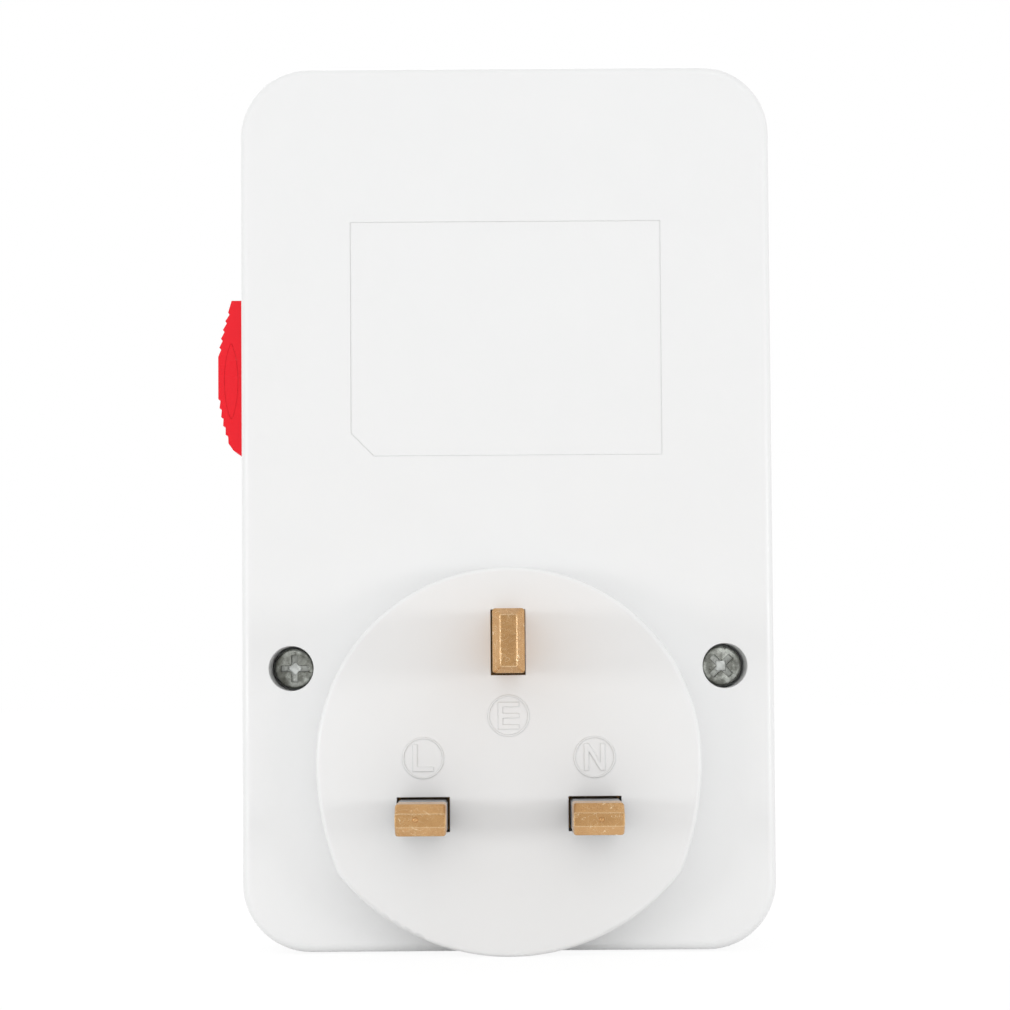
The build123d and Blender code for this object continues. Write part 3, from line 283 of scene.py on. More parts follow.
metal_scratch_line = calculated(metal, "COMPARE", metal_scratch_field, 0.5, 0.004)
metal_scratched = mixed(metal, metal_scratch_line, metal_edge_light_and_wear, metal_in["Edge Colour"])
metal_polish = spread(metal, metal_streaks, between=(0.3, 0.7), gives=(-0.08, 0.1))
metal_gloss = calculated(metal, "ADD", metal_in["Roughness"], metal_polish)
put(metal, "NodeGroupOutput", {"Colour": metal_scratched, "Roughness": metal_gloss, "Height": metal_streaks})


def metal_surface(tree, colour, tarnish, edge_colour, roughness, grain_direction):
    """Places the worked metal in a material. Its grain direction is in streaks per metre along X, Y and Z."""
    inputs = {
        "Colour": (*colour, 1.0),
        "Tarnish": (*tarnish, 1.0),
        "Edge Colour": (*edge_colour, 1.0),
        "Roughness": roughness,
        "Grain Direction": grain_direction,
    }
    return put(tree, "ShaderNodeGroup", inputs, node_tree=metal).outputs


def worked(name, colour, tarnish, edge_colour, roughness, grain_direction, relief=0.2, rounding=0.15 * mm):
    """Bare or plated metal: the grain of how it was worked, stains, hairline scratches, and bright edges that
    are partly wear and partly a painted highlight.
    """
    material, tree = new_material(name)
    surface = metal_surface(tree, colour, tarnish, edge_colour, roughness, grain_direction)
    shader_inputs = {
        "Base Color": surface["Colour"],
        "Roughness": surface["Roughness"],
        "Normal": relief_on(tree, surface["Height"], strength=relief, depth=0.02 * mm, rounding=rounding),
        "Metallic": 1.0,
    }
    add_shader(tree, shader_inputs)
    return material


# The pale edge colour on the blades is mostly a painted highlight, the light that their rounded edges catch.
pin_brass = worked(
    "pin_brass",
    colour=(0.61, 0.355, 0.155),
    tarnish=(0.49, 0.27, 0.11),
    edge_colour=(0.95, 0.76, 0.50),
    roughness=0.30,
    grain_direction=(7000.0, 350.0, 7000.0),
    rounding=0.3 * mm,
)
paint(pin_brass, "line_pin", "neutral_pin", "earth_pin")
sleeve_black = moulded(
    "sleeve_black",
    colour=(0.018, 0.018, 0.02),
    flow_colour=(0.03, 0.03, 0.032),
    roughness=0.16,
    relief=0.05,
)
paint(sleeve_black, "pin_sleeves")


def add_piece(name, mesh, body):
    """Links a finished mesh as a piece that rides on a body."""
    piece = in_scene(name, mesh)
    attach(piece, body)
    return piece


def mesh_from(build, name, material):
    """Closes a bmesh into a mesh with its faces outwards and one material."""
    weld_distance = 0.0005 * mm
    bmesh.ops.remove_doubles(build, verts=build.verts, dist=weld_distance)
    bmesh.ops.recalc_face_normals(build, faces=build.faces)
    mesh = bpy.data.meshes.new(name)
    build.to_mesh(mesh)
    build.free()
    mesh.materials.append(material)
    return mesh


# A small pip stands on the end of each live pin, a little off its middle, where it was cut off
pip_radius = 0.34 * mm
pip_height = 0.22 * mm
pip_shape = Matrix.Rotation(-pi / 2, 4, "X") @ Matrix.Diagonal((1.0, 1.0, pip_height / pip_radius, 1.0))
for pin_node, pip_x, pip_z in (
    ("neutral_pin", -0.3 * mm, 0.0),
    ("line_pin", 0.6 * mm, 0.1 * mm),
):
    pin_low, pin_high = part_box(pin_node)
    pip_centre = (
        (pin_low[0] + pin_high[0]) / 2 + pip_x,
        pin_high[1],
        (pin_low[2] + pin_high[2]) / 2 + pip_z,
    )
    pip_place = Matrix.Translation(pip_centre) @ pip_shape
    pip = bmesh.new()
    bmesh.ops.create_uvsphere(pip, u_segments=20, v_segments=10, radius=pip_radius, matrix=pip_place)
    pip_mesh = mesh_from(pip, pin_node + "_cut_pips", pin_brass)
    pip_mesh.shade_smooth()
    add_piece(pin_node + "_cut_pips", pip_mesh, "case")


# Switch, its button and the follower
# A closed switch of dark thermoset plastic that snaps on ribs in the rear cover.
# The natural white button and the follower that presses it are moulded in a slippery nylon-like plastic.
switch_grey = moulded(
    "switch_grey",
    colour=(0.055, 0.055, 0.06),
    flow_colour=(0.10, 0.095, 0.09),
    flow=0.9,
    roughness=0.5,
    relief=0.3,
)
paint(switch_grey, "switch_body")
slippery_white = moulded(
    "slippery_white",
    colour=(0.78, 0.76, 0.70),
    flow_colour=(0.70, 0.67, 0.58),
    flow=0.7,
    roughness=0.28,
    coat=0.2,
)
paint(slippery_white, "switch_button", "cam_follower")
turned_steel = worked(
    "turned_steel",
    colour=(0.55, 0.55, 0.56),
    tarnish=(0.42, 0.41, 0.40),
    edge_colour=(0.78, 0.78, 0.79),
    roughness=0.28,
    grain_direction=(500.0, 9000.0, 500.0),
)
paint(turned_steel, "follower_pin")


# Motor
# A small synchronous motor: a pressed steel can and cover, with a coil wound from enamelled copper wire.
# The rotor is a dark sintered magnet on a steel shaft. The motor hangs on the mechanism plate.
pressed_steel = worked(
    "pressed_steel",
    colour=(0.58, 0.58, 0.59),
    tarnish=(0.45, 0.44, 0.43),
    edge_colour=(0.75, 0.75, 0.76),
    roughness=0.38,
    grain_direction=(300.0, 4000.0, 5000.0),
)
paint(pressed_steel, "motor_can", "motor_cover")
magnet_dark = moulded(
    "magnet_dark",
    colour=(0.06, 0.058, 0.062),
    flow_colour=(0.13, 0.12, 0.12),
    flow=1.0,
    roughness=0.55,
    relief=0.5,
)
paint(magnet_dark, "motor_rotor")


def wound_wire(name, centre, colour, dark, turn_pitch):
    """Enamelled wire in close turns round an axis along Y, drawn as rings of round wire, with painted shade
    in the grooves between the turns.
    """
    material, tree = new_material(name)
    place = on_object(tree)
    centred = put(tree, "ShaderNodeVectorMath", {0: place, 1: centre}, operation="SUBTRACT")
    split = put(tree, "ShaderNodeSeparateXYZ", {"Vector": centred.outputs["Vector"]}).outputs
    across = put(tree, "ShaderNodeCombineXYZ", {"X": split["X"], "Z": split["Z"]})
    radius = measured(tree, "LENGTH", across.outputs["Vector"])
    reach = calculated(tree, "ADD", radius, split["Y"])
    turns = calculated(tree, "DIVIDE", reach, turn_pitch / (2 * pi))
    wave = calculated(tree, "SINE", turns)
    height = calculated(tree, "ABSOLUTE", wave)
    unevenness = noise(tree, place, scale=500.0, detail=3.0)
    # Painted shade: the colour goes to the dark value in the grooves between the turns, and also varies at
    # random.
    shade = calculated(tree, "MULTIPLY", height, unevenness)
    shader_inputs = {
        "Base Color": mixed(tree, shade, (*dark, 1.0), (*colour, 1.0)),
        "Normal": relief_on(tree, height, strength=0.8, depth=0.1 * mm),
        "Roughness": 0.3,
        "Metallic": 0.5,
        "Coat Weight": 0.6,
    }
    add_shader(tree, shader_inputs)
    return material


coil_low, coil_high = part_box("motor_coil")
coil_centre = [(low + high) / 2 for low, high in zip(coil_low, coil_high)]
coil_copper = wound_wire(
    "coil_copper",
    centre=coil_centre,
    colour=(0.75, 0.26, 0.09),
    dark=(0.16, 0.04, 0.015),
    turn_pitch=0.5 * mm,
)
paint(coil_copper, "motor_coil")


# Mechanism plate, arbors and gears
# A blanked steel plate carries the turned arbors, and the gears on them are moulded in natural plastic.
# Four small cross-head screws hold the plate to posts in the front cover.
plate_steel = worked(
    "plate_steel",
    colour=(0.62, 0.62, 0.62),
    tarnish=(0.50, 0.49, 0.46),
    edge_colour=(0.80, 0.80, 0.80),
    roughness=0.34,
    grain_direction=(5000.0, 5000.0, 250.0),
)
paint(plate_steel, "mechanism_plate")
paint(turned_steel, "dial_arbor", "idler_arbor", "clutch_washer", "plate_screws")
gear_natural = moulded(
    "gear_natural",
    colour=(0.80, 0.78, 0.72),
    flow_colour=(0.72, 0.69, 0.60),
    flow=0.7,
    roughness=0.32,
    coat=0.1,
)
paint(gear_natural, "dial_gear", "idler_gear", "drive_pinion")


# Contacts, strips and leads
# The outlet's clips and the strips to the switch are folded from rolled brass strip.
# Two thin leads in plastic sleeving, brown for live and blue for neutral, feed the motor.
strip_brass = worked(
    "strip_brass",
    colour=(0.68, 0.47, 0.20),
    tarnish=(0.50, 0.30, 0.12),
    edge_colour=(0.85, 0.66, 0.36),
    roughness=0.26,
    grain_direction=(6000.0, 6000.0, 200.0),
)
paint(strip_brass, "earth_contact", "neutral_contact", "line_contact", "feed_strip", "load_strip")


def lead_sleeving(name, gap_x, live_colour, neutral_colour):
    """Soft sleeving on both leads: one colour on each side of the gap between them, slightly scuffed."""
    material, tree = new_material(name)
    place = on_object(tree)
    split = put(tree, "ShaderNodeSeparateXYZ", {"Vector": place}).outputs
    live_side = calculated(tree, "GREATER_THAN", split["X"], gap_x)
    scuffs = noise(tree, place, scale=700.0, detail=4.0)
    shader_inputs = {
        "Base Color": mixed(tree, live_side, (*neutral_colour, 1.0), (*live_colour, 1.0)),
        "Roughness": spread(tree, scuffs, gives=(0.3, 0.6)),
        "Normal": relief_on(tree, scuffs, strength=0.2, depth=0.05 * mm),
    }
    add_shader(tree, shader_inputs)
    return material


lead_finish = lead_sleeving(
    "lead_finish",
    gap_x=-9.8 * mm,
    live_colour=(0.16, 0.06, 0.025),
    neutral_colour=(0.02, 0.08, 0.35),
)
paint(lead_finish, "motor_leads")


# Shutter and its spring
# A natural plastic plate with three windows slides behind the outlet slots.
# It stands on a small coil spring of bright steel wire, which shortens as the shutter comes down in the
# timer; here the coil is drawn at one length.
paint(slippery_white, "shutter")
spring_wire = worked(
    "spring_wire",
    colour=(0.60, 0.60, 0.61),
    tarnish=(0.48, 0.48, 0.48),
    edge_colour=(0.75, 0.75, 0.76),
    roughness=0.22,
    grain_direction=(2500.0, 2500.0, 2500.0),
    relief=0.05,
)
spring_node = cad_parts["shutter_spring"]
spring_build = bmesh.new()
spring_build.from_mesh(spring_node.data)
spring_build.transform(spring_node.matrix_world)
spring_mesh = mesh_from(spring_build, "shutter_spring_coil", spring_wire)
spring_mesh.shade_smooth()
spring_coil = add_piece("shutter_spring_coil", spring_mesh, "case")
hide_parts("shutter_spring")
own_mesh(spring_coil)


# Override lever
# A bright red moulded sector with saw teeth for the thumb, on a post of the rear cover.
# A faint bead in the shape of a lens, where the mould's insert met the tool, runs round its back face.
signal_red = moulded(
    "signal_red",
    colour=(0.95, 0.008, 0.02),
    flow_colour=(0.90, 0.016, 0.03),
    flow=0.8,
    roughness=0.3,
    shine=0.25,
)
paint(signal_red, "override_lever")


def plain_mesh(source, name):
    """Turns a curve, words or a growing object into a plain mesh, and takes that object away."""
    depsgraph = bpy.context.evaluated_depsgraph_get()
    mesh = bpy.data.meshes.new_from_object(source.evaluated_get(depsgraph))
    bpy.data.objects.remove(source)
    mesh.name = name
    return mesh


def bead_loop(name, points, radius, material):
    """A closed bead of round section through points, as a plain mesh."""
    curve = bpy.data.curves.new(name, "CURVE")
    curve.dimensions = "3D"
    curve.bevel_depth = radius
    curve.bevel_resolution = 2
    spline = curve.splines.new("NURBS")
    spline.points.add(len(points) - 1)
    for point, place in zip(spline.points, points):
        point.co = (*place, 1.0)
    spline.use_cyclic_u = True
    spline.order_u = 3
    mesh = plain_mesh(in_scene(name + "_line", curve), name)
    mesh.materials.clear()
    mesh.materials.append(material)
    mesh.shade_smooth()
    return mesh


lever_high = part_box("override_lever")[1]
bead_radius = 0.04 * mm
bead_middle_x = lever_high[0] - 1.75 * mm
bead_middle_z = 51.0 * mm
bead_half_width = 0.95 * mm
bead_half_height = 5.2 * mm
bead_sharpness = 1.5
bead_steps = 16
bead_points = []
for step in range(bead_steps):
    angle = 2 * pi * step / bead_steps
    side = 1 if cos(angle) > 0 else -1
    bead_x = bead_middle_x + bead_half_width * abs(cos(angle)) ** bead_sharpness * side
    bead_points.append((bead_x, lever_high[1], bead_middle_z + bead_half_height * sin(angle)))
bead_mesh = bead_loop("lever_face_bead", bead_points, bead_radius, signal_red)
add_piece("lever_face_bead", bead_mesh, "lever")


# Front cover
# The front half of the case, in the same white plastic, with the bezel round the dial and the outlet slots.
# The raised time mark on the bezel and the marks for the lever's two positions are printed in one ink.
paint(case_white, "front_cover")


def printed_ink(name, colour, worn_colour):
    """Thin pad-printed ink that has worn a little in places."""
    material, tree = new_material(name)
    wear = noise(tree, on_object(tree), scale=1500.0, detail=4.0)
    thin_places = spread(tree, wear, between=(0.55, 0.8), gives=(0.0, 0.6))
    shader_inputs = {
        "Base Color": mixed(tree, thin_places, (*colour, 1.0), (*worn_colour, 1.0)),
        "Roughness": spread(tree, wear, gives=(0.35, 0.55)),
    }
    add_shader(tree, shader_inputs)
    return material


ink_thickness = 0.03 * mm
black_ink = printed_ink("black_ink", colour=(0.02, 0.02, 0.022), worn_colour=(0.10, 0.10, 0.11))


def add_plate(build, outline, front_y):
    """A thin printed shape: an outline of (x, z) points that stands ink-thick out of a face at front_y."""
    back = [build.verts.new((x, front_y, z)) for x, z in outline]
    front = [build.verts.new((x, front_y - ink_thickness, z)) for x, z in outline]
    build.faces.new(back)
    build.faces.new(front[::-1])
    count = len(outline)
    for place in range(count):
        after = (place + 1) % count
        build.faces.new((back[place], front[place], front[after], back[after]))


def point_round(centre_x, centre_z, radius, angle):
    """The (x, z) point at an angle in degrees against the clock from the top, seen from the front."""
    return (centre_x - radius * sin(radians(angle)), centre_z + radius * cos(radians(angle)))


def add_band(build, centre_x, centre_z, inner, outer, start, end, front_y):
    """A printed band between two radii, in short four-sided plates so that it stays flat."""
    plate_angle = 5
    steps = max(2, round(abs(end - start) / plate_angle))
    for step in range(steps):
        first = start + (end - start) * step / steps
        last = start + (end - start) * (step + 1) / steps
        outline = (
            point_round(centre_x, centre_z, inner, first),
            point_round(centre_x, centre_z, inner, last),
            point_round(centre_x, centre_z, outer, last),
            point_round(centre_x, centre_z, outer, first),
        )
        add_plate(build, outline, front_y)


def add_words(build, words, size, centre_x, centre_z, turn, front_y):
    """Printed words or numbers, turned against the clock by turn degrees, seen from the front."""
    curve = bpy.data.curves.new("words", "FONT")
    curve.body = words
    curve.size = size
    curve.align_x = "CENTER"
    curve.align_y = "CENTER"
    curve.extrude = ink_thickness / 2
    mesh = plain_mesh(in_scene("words", curve), "words")
    stand_up = Matrix.Rotation(pi / 2, 4, "X")
    spin = Matrix.Rotation(radians(-turn), 4, "Y")
    place = Matrix.Translation((centre_x, front_y - ink_thickness / 2, centre_z))
    mesh.transform(place @ spin @ stand_up)
    build.from_mesh(mesh)
    bpy.data.meshes.remove(mesh)


front_face_y = -44.0 * mm
mark_x = 28.6 * mm
clock_z = 80.5 * mm
clock_radius = 1.6 * mm
stroke = 0.28 * mm
minute_hand = 1.1 * mm
hour_hand = 0.85 * mm
lever_marks = bmesh.new()
add_band(lever_marks, mark_x, clock_z, clock_radius - stroke, clock_radius, 0, 360, front_face_y)
for hand_right, hand_top in ((stroke / 2, minute_hand), (hour_hand, stroke / 2)):
    hand = [
        (mark_x - stroke / 2, clock_z - stroke / 2),
        (mark_x + hand_right, clock_z - stroke / 2),
        (mark_x + hand_right, clock_z + hand_top),
        (mark_x - stroke / 2, clock_z + hand_top),
    ]
    add_plate(lever_marks, hand, front_face_y)
on_mark_z = 32.5 * mm
on_mark_size = 3.0 * mm
add_words(lever_marks, "ON", on_mark_size, mark_x, on_mark_z, 0, front_face_y)
lever_mark_mesh = mesh_from(lever_marks, "lever_marks", black_ink)
add_piece("lever_marks", lever_mark_mesh, "case")

time_mark_y = -45.4 * mm
time_mark_size = 1.11 * mm
time_mark_tip_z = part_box("dial")[1][2] + 0.77 * mm
time_mark_top_z = time_mark_tip_z + time_mark_size
time_mark_outline = (
    (0.0, time_mark_tip_z),
    (time_mark_size, time_mark_top_z),
    (-time_mark_size, time_mark_top_z),
)
time_mark = bmesh.new()
add_plate(time_mark, time_mark_outline, time_mark_y)
time_mark_mesh = mesh_from(time_mark, "time_mark_print", black_ink)
add_piece("time_mark_print", time_mark_mesh, "case")


# Dial, its printed face and the cap
# The dial is moulded in off-white plastic, and a printed disc on its web shows the hours and quarters.
# Numbers run against the clock, because the dial turns with the clock past the fixed time mark.
dial_white = moulded(
    "dial_white",
    colour=(0.84, 0.85, 0.86),
    flow_colour=(0.78, 0.79, 0.81),
    roughness=0.38,
    coat=0.05,
)
paint(dial_white, "dial", "dial_cap")
face_paper = moulded(
    "face_paper",
    colour=(0.88, 0.88, 0.87),
    flow_colour=(0.84, 0.84, 0.82),
    roughness=0.5,
    grain=6000.0,
)
paint(face_paper, "dial_face")

hours = 24
hour_angle = 360 / hours
face_low, face_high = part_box("dial_face")
face_y = face_low[1]
dial_x = (face_low[0] + face_high[0]) / 2
dial_z = (face_low[2] + face_high[2]) / 2
face_radius = (face_high[0] - face_low[0]) / 2
number_radius = face_radius - 4.6 * mm
number_size = 2.9 * mm
numbers = bmesh.new()
for hour in range(1, hours + 1):
    number_x, number_z = point_round(dial_x, dial_z, number_radius, hour * hour_angle)
    add_words(numbers, str(hour), number_size, number_x, number_z, hour * hour_angle, face_y)
number_mesh = mesh_from(numbers, "dial_numbers", black_ink)
add_piece("dial_numbers", number_mesh, "dial")

night_ink = printed_ink("night_ink", colour=(0.07, 0.12, 0.25), worn_colour=(0.20, 0.26, 0.38))
day_ink = printed_ink("day_ink", colour=(0.80, 0.52, 0.06), worn_colour=(0.82, 0.66, 0.32))
band_inner = face_radius - 8.6 * mm
band_outer = face_radius - 7.4 * mm
band_gap = 1
for band_name, band_ink, first_hour, last_hour in (
    ("dial_day_band", day_ink, 6, 18),
    ("dial_night_band", night_ink, 18, 30),
):
    band_start = first_hour * hour_angle + band_gap
    band_end = last_hour * hour_angle - band_gap
    band = bmesh.new()
    add_band(band, dial_x, dial_z, band_inner, band_outer, band_start, band_end, face_y)
    band_mesh = mesh_from(band, band_name, band_ink)
    add_piece(band_name, band_mesh, "dial")

arrow_radius = face_radius - 11.3 * mm
arrow_half = 0.35 * mm
arrow_head_half = 3 * arrow_half
arrow_start = 28
arrow_neck = -22
arrow_end = -36
arrow_inner = arrow_radius - arrow_half
arrow_outer = arrow_radius + arrow_half
arrow_head = (
    point_round(dial_x, dial_z, arrow_radius + arrow_head_half, arrow_neck),
    point_round(dial_x, dial_z, arrow_radius - arrow_head_half, arrow_neck),
    point_round(dial_x, dial_z, arrow_radius, arrow_end),
)
arrow = bmesh.new()
add_band(arrow, dial_x, dial_z, arrow_inner, arrow_outer, arrow_start, arrow_neck, face_y)
add_plate(arrow, arrow_head, face_y)
arrow_mesh = mesh_from(arrow, "dial_turn_arrow", black_ink)
add_piece("dial_turn_arrow", arrow_mesh, "dial")

# The ticks stand round the face on a circle of points, and every hour's tick is a long one
tick_tree = bpy.data.node_groups.new("dial ticks", "GeometryNodeTree")
for label, kind in (
    ("Count", "NodeSocketInt"),
    ("Long Every", "NodeSocketInt"),
    ("Short Share", "NodeSocketFloat"),
    ("Radius", "NodeSocketFloat"),
    ("Length", "NodeSocketFloat"),
    ("Width", "NodeSocketFloat"),
    ("Thickness", "NodeSocketFloat"),
    ("Centre", "NodeSocketVector"),
    ("Ink", "NodeSocketMaterial"),
):
    tick_tree.interface.new_socket(label, in_out="INPUT", socket_type=kind)
tick_tree.interface.new_socket("Geometry", in_out="OUTPUT", socket_type="NodeSocketGeometry")
tick_in = put(tick_tree, "NodeGroupInput").outputs
tick_size = put(
    tick_tree,
    "ShaderNodeCombineXYZ",
    {"X": tick_in["Length"], "Y": tick_in["Width"], "Z": tick_in["Thickness"]},
)
tick_box = put(tick_tree, "GeometryNodeMeshCube", {"Size": tick_size.outputs["Vector"]})
tick_inset = calculated(tick_tree, "MULTIPLY", tick_in["Length"], -0.5)
tick_rise = calculated(tick_tree, "MULTIPLY", tick_in["Thickness"], 0.5)
tick_shift = put(tick_tree, "ShaderNodeCombineXYZ", {"X": tick_inset, "Z": tick_rise})
tick_mark = put(
    tick_tree,
    "GeometryNodeTransform",
    {"Geometry": tick_box.outputs["Mesh"], "Translation": tick_shift.outputs["Vector"]},
)
tick_circle = put(
    tick_tree,
    "GeometryNodeMeshCircle",
    {"Vertices": tick_in["Count"], "Radius": tick_in["Radius"]},
)
tick_point = put(tick_tree, "GeometryNodeInputPosition").outputs["Position"]
tick_turn = put(
    tick_tree,
    "FunctionNodeAlignRotationToVector",
    {"Vector": tick_point},
    axis="X",
    pivot_axis="Z",
)
tick_index = put(tick_tree, "GeometryNodeInputIndex").outputs["Index"]
tick_rest = calculated(tick_tree, "MODULO", tick_index, tick_in["Long Every"])
tick_short = calculated(tick_tree, "GREATER_THAN", tick_rest, 0.5)
tick_share = spread(tick_tree, tick_short, gives=(1.0, tick_in["Short Share"]))
tick_scale = put(tick_tree, "ShaderNodeCombineXYZ", {"X": tick_share, "Y": 1.0, "Z": 1.0})
tick_marks = put(
    tick_tree,
    "GeometryNodeInstanceOnPoints",
    {
        "Points": tick_circle.outputs["Mesh"],
        "Instance": tick_mark.outputs["Geometry"],
        "Rotation": tick_turn.outputs["Rotation"],
        "Scale": tick_scale.outputs["Vector"],
    },
)
tick_upright = put(
    tick_tree,
    "GeometryNodeTransform",
    {
        "Geometry": tick_marks.outputs["Instances"],
        "Translation": tick_in["Centre"],
        "Rotation": (pi / 2, 0.0, 0.0),
    },
)
tick_real = put(tick_tree, "GeometryNodeRealizeInstances", {"Geometry": tick_upright.outputs["Geometry"]})
tick_inked = put(
    tick_tree,
    "GeometryNodeSetMaterial",
    {"Geometry": tick_real.outputs["Geometry"], "Material": tick_in["Ink"]},
)
put(tick_tree, "NodeGroupOutput", {"Geometry": tick_inked.outputs["Geometry"]})


def grown_mesh(name, tree, values):
    """Runs a Geometry Nodes tree with its inputs by name, and keeps the result as a plain mesh."""
    start = in_scene(name + "_start", bpy.data.meshes.new(name + "_start"))
    modifier = start.modifiers.new(name, "NODES")
    modifier.node_group = tree
    for socket in tree.interface.items_tree:
        if socket.in_out == "INPUT":
            modifier[socket.identifier] = values[socket.name]
    return plain_mesh(start, name)


quarters_per_hour = 4
tick_mesh = grown_mesh(
    "dial_ticks",
    tick_tree,
    {
        "Count": hours * quarters_per_hour,
        "Long Every": quarters_per_hour,
        "Short Share": 0.55,
        "Radius": face_radius - 0.5 * mm,
        "Length": 2.0 * mm,
        "Width": 0.22 * mm,
        "Thickness": ink_thickness,
        "Centre": (dial_x, face_y, dial_z),
        "Ink": black_ink,
    },
)
add_piece("dial_ticks", tick_mesh, "dial")


# Segments
# Forty-eight red sliding tabs, two for each hour, moulded in the same red plastic as the lever.
# A segment that is pushed in turns the outlet on for its half hour.
segment_red = moulded(
    "segment_red",
    colour=(0.80, 0.018, 0.026),
    flow_colour=(0.70, 0.02, 0.03),
    flow=0.8,
    roughness=0.36,
    coat=0.1,
)
for hour in range(hours):
    paint(segment_red, f"segments_{hour:02d}")


# Case screws
# Two zinc-plated cross-head screws hold the halves together from the bottom of the deep wells.
# Their plating is dull with handling and dust, painted darker in sheltered places and along the edges as
# painted shade, and painted bright in the middle, partly where the driver's tip has turned and partly as a
# painted reflection.
def worn_zinc(name, colour, grime_and_shade, bare_and_glint, edge_colour, shade_reach, recess_y, head_x, head_z, bright_radius):
    """Dull zinc plating, blotched with grime on the heads' faces, and painted darker as painted shade where
    it is sheltered, in the recesses.

    The middles of the two heads behind recess_y, at head_x on either side and head_z, are painted bright over
    a small radius: partly bare zinc rubbed by the driver's tip, partly a painted reflection.
    """
    material, tree = new_material(name)
    surface = metal_surface(
        tree,
        colour=colour,
        tarnish=grime_and_shade,
        edge_colour=edge_colour,
        roughness=0.34,
        grain_direction=(2200.0, 2200.0, 2200.0),
    )
    place = on_object(tree)
    patches = noise(tree, place, scale=900.0, detail=4.0)
    # Painted shade: where the AO node finds the surface sheltered, in the recesses and round the heads, the
    # colour is painted darker.
    shelter = put(tree, "ShaderNodeAmbientOcclusion", {"Distance": shade_reach}, samples=8)
    painted_shelter_shade = spread(tree, shelter.outputs["AO"], between=(0.1, 0.5), gives=(0.5, 0.0))
    blotches = spread(tree, patches, between=(0.42, 0.60), gives=(0.0, 0.65))
    dirt_and_shade = calculated(tree, "MAXIMUM", painted_shelter_shade, blotches)
    dirty_and_shaded = mixed(tree, dirt_and_shade, surface["Colour"], (*grime_and_shade, 1.0))
    split = put(tree, "ShaderNodeSeparateXYZ", {"Vector": place}).outputs
    in_recess = calculated(tree, "LESS_THAN", split["Y"], recess_y)
    either_side = calculated(tree, "ABSOLUTE", split["X"])
    across = put(tree, "ShaderNodeCombineXYZ", {"X": either_side, "Z": split["Z"]})
    off_middle = measured(tree, "DISTANCE", across.outputs["Vector"], (head_x, 0.0, head_z))
    # Painted reflection and wear: the middle of each recess is painted bright, partly bare zinc and partly a
    # painted reflection of light off the recess floor.
    bright_edge = (0.85 * bright_radius, 1.15 * bright_radius)
    in_bright_middle = spread(tree, off_middle, between=bright_edge, gives=(1.0, 0.35))
    bright_place = calculated(tree, "MULTIPLY", in_recess, in_bright_middle)
    bright_patches = spread(tree, patches, between=(0.35, 0.6), gives=(0.55, 1.0))
    bare_and_glint_share = calculated(tree, "MULTIPLY", bright_place, bright_patches)
    shader_inputs = {
        "Base Color": mixed(tree, bare_and_glint_share, dirty_and_shaded, (*bare_and_glint, 1.0)),
        "Roughness": surface["Roughness"],
        "Normal": relief_on(tree, surface["Height"], strength=0.6, depth=0.06 * mm, rounding=0.12 * mm),
        "Metallic": 1.0,
    }
    add_shader(tree, shader_inputs)
    return material


screw_low, screw_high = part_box("case_screws")
head_radius = (screw_high[2] - screw_low[2]) / 2
screw_zinc = worn_zinc(
    "screw_zinc",
    colour=(0.80, 0.83, 0.77),
    grime_and_shade=(0.11, 0.11, 0.09),
    bare_and_glint=(0.97, 1.0, 0.97),
    # The dark edge colour is painted shade, a dark outline where the face turns down into the recess.
    edge_colour=(0.12, 0.125, 0.105),
    shade_reach=1.2 * mm,
    recess_y=screw_high[1] - 0.6 * mm,
    head_x=screw_high[0] - head_radius,
    head_z=(screw_low[2] + screw_high[2]) / 2,
    bright_radius=0.8 * mm,
)
paint(screw_zinc, "case_screws")


# Studio
# A plain pale floor under the timer, soft lamps at both sides of the plug face, and one over the dial.
# The background is white for the camera and in reflections, and lights the object at a plain level.
def rays_that_see(tree):
    """1 for camera, glossy and transmission rays, and 0 for the light that falls on surfaces."""
    path = put(tree, "ShaderNodeLightPath").outputs
    mirrored = calculated(tree, "MAXIMUM", path["Is Glossy Ray"], path["Is Transmission Ray"])
    return calculated(tree, "MAXIMUM", path["Is Camera Ray"], mirrored)


white_light = (1.0, 1.0, 1.0, 1.0)
sky_level = 0.76
floor_white = 0.9
floor_shadow_share = 0.12
# The glow makes up the white of a floor that only the sky lights
floor_glow_level = (1.0 - floor_shadow_share * floor_white * sky_level) / (1.0 - floor_shadow_share)
floor_material, floor_tree = new_material("floor_pale")
floor_colour = (floor_white, floor_white, floor_white, 1.0)
floor_diffuse = put(floor_tree, "ShaderNodeBsdfDiffuse", {"Color": floor_colour})
floor_glow = put(floor_tree, "ShaderNodeEmission", {"Color": white_light, "Strength": floor_glow_level})
floor_seen = calculated(floor_tree, "MULTIPLY", rays_that_see(floor_tree), 1.0 - floor_shadow_share)
floor_mix = put(
    floor_tree,
    "ShaderNodeMixShader",
    {"Fac": floor_seen, 1: floor_diffuse.outputs["BSDF"], 2: floor_glow.outputs["Emission"]},
)
put(floor_tree, "ShaderNodeOutputMaterial", {"Surface": floor_mix.outputs["Shader"]})

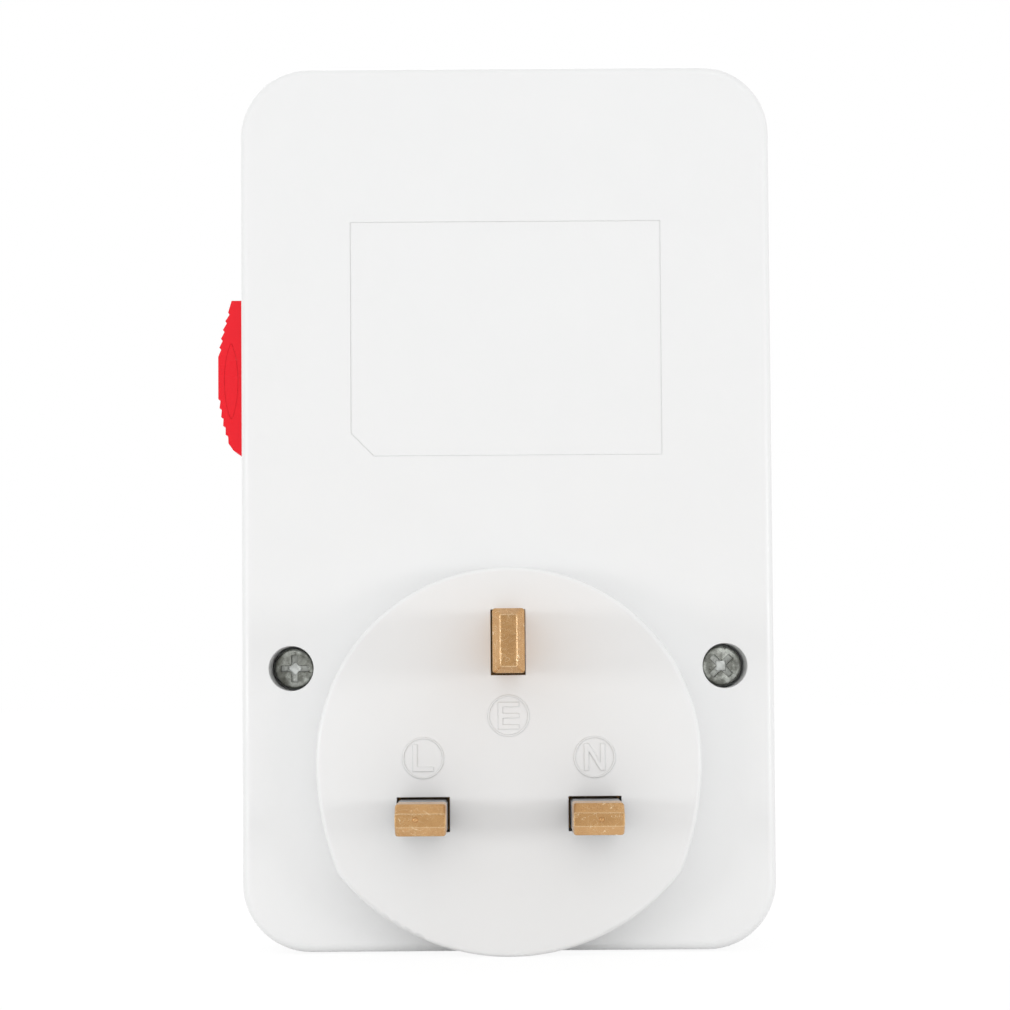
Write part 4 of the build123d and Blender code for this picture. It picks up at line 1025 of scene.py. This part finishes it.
floor_z = cad_box[0][2]
floor_half = 3.0
floor_build = bmesh.new()
floor_corners = []
for side_x, side_y in ((-1, -1), (1, -1), (1, 1), (-1, 1)):
    floor_corners.append(floor_build.verts.new((side_x * floor_half, side_y * floor_half, floor_z)))
floor_build.faces.new(floor_corners)
floor_mesh = bpy.data.meshes.new("floor")
floor_build.to_mesh(floor_mesh)
floor_build.free()
floor_mesh.materials.append(floor_material)
floor = in_scene("floor", floor_mesh)

# Soft light comes mostly from the camera's side, where mirror-like faces see a dimmer part of the room
world = bpy.data.worlds.new("studio")
world.use_nodes = True
world_tree = world.node_tree
world_tree.nodes.clear()
world_place = put(world_tree, "ShaderNodeTexCoord").outputs["Generated"]
world_way = put(world_tree, "ShaderNodeSeparateXYZ", {"Vector": world_place}).outputs["Y"]
world_fill = spread(world_tree, world_way, between=(0.4, 1.0), gives=(sky_level, 1.24))
world_light = put(world_tree, "ShaderNodeBackground", {"Color": white_light, "Strength": world_fill})
world_level = spread(world_tree, world_way, between=(0.70, 0.95), gives=(1.0, 0.6))
world_ray = put(world_tree, "ShaderNodeLightPath").outputs["Is Camera Ray"]
world_seen = calculated(world_tree, "MAXIMUM", world_level, world_ray)
world_white = put(world_tree, "ShaderNodeBackground", {"Color": white_light, "Strength": world_seen})
world_mix = put(
    world_tree,
    "ShaderNodeMixShader",
    {
        "Fac": rays_that_see(world_tree),
        1: world_light.outputs["Background"],
        2: world_white.outputs["Background"],
    },
)
put(world_tree, "ShaderNodeOutputWorld", {"Surface": world_mix.outputs["Shader"]})
bpy.context.scene.world = world

lamp_aim = Vector((0.0, -20 * mm, 20 * mm))
for lamp_name, lamp_place, lamp_width, lamp_height, lamp_power in (
    ("left_softbox", (0.60, 0.42, 0.03), 0.30, 0.12, 0.7),
    ("right_softbox", (-0.60, 0.42, 0.03), 0.30, 0.12, 0.7),
    ("front_softbox", (0.15, -0.60, 0.50), 0.60, 0.60, 1.3),
):
    lamp_data = bpy.data.lights.new(lamp_name, "AREA")
    lamp_data.shape = "RECTANGLE"
    lamp_data.size = lamp_width
    lamp_data.size_y = lamp_height
    lamp_data.energy = lamp_power
    lamp = in_scene(lamp_name, lamp_data)
    lamp.location = lamp_place
    lamp.rotation_euler = (Vector(lamp_place) - lamp_aim).to_track_quat("Z", "Y").to_euler()

bpy.context.scene.view_settings.view_transform = "Standard"
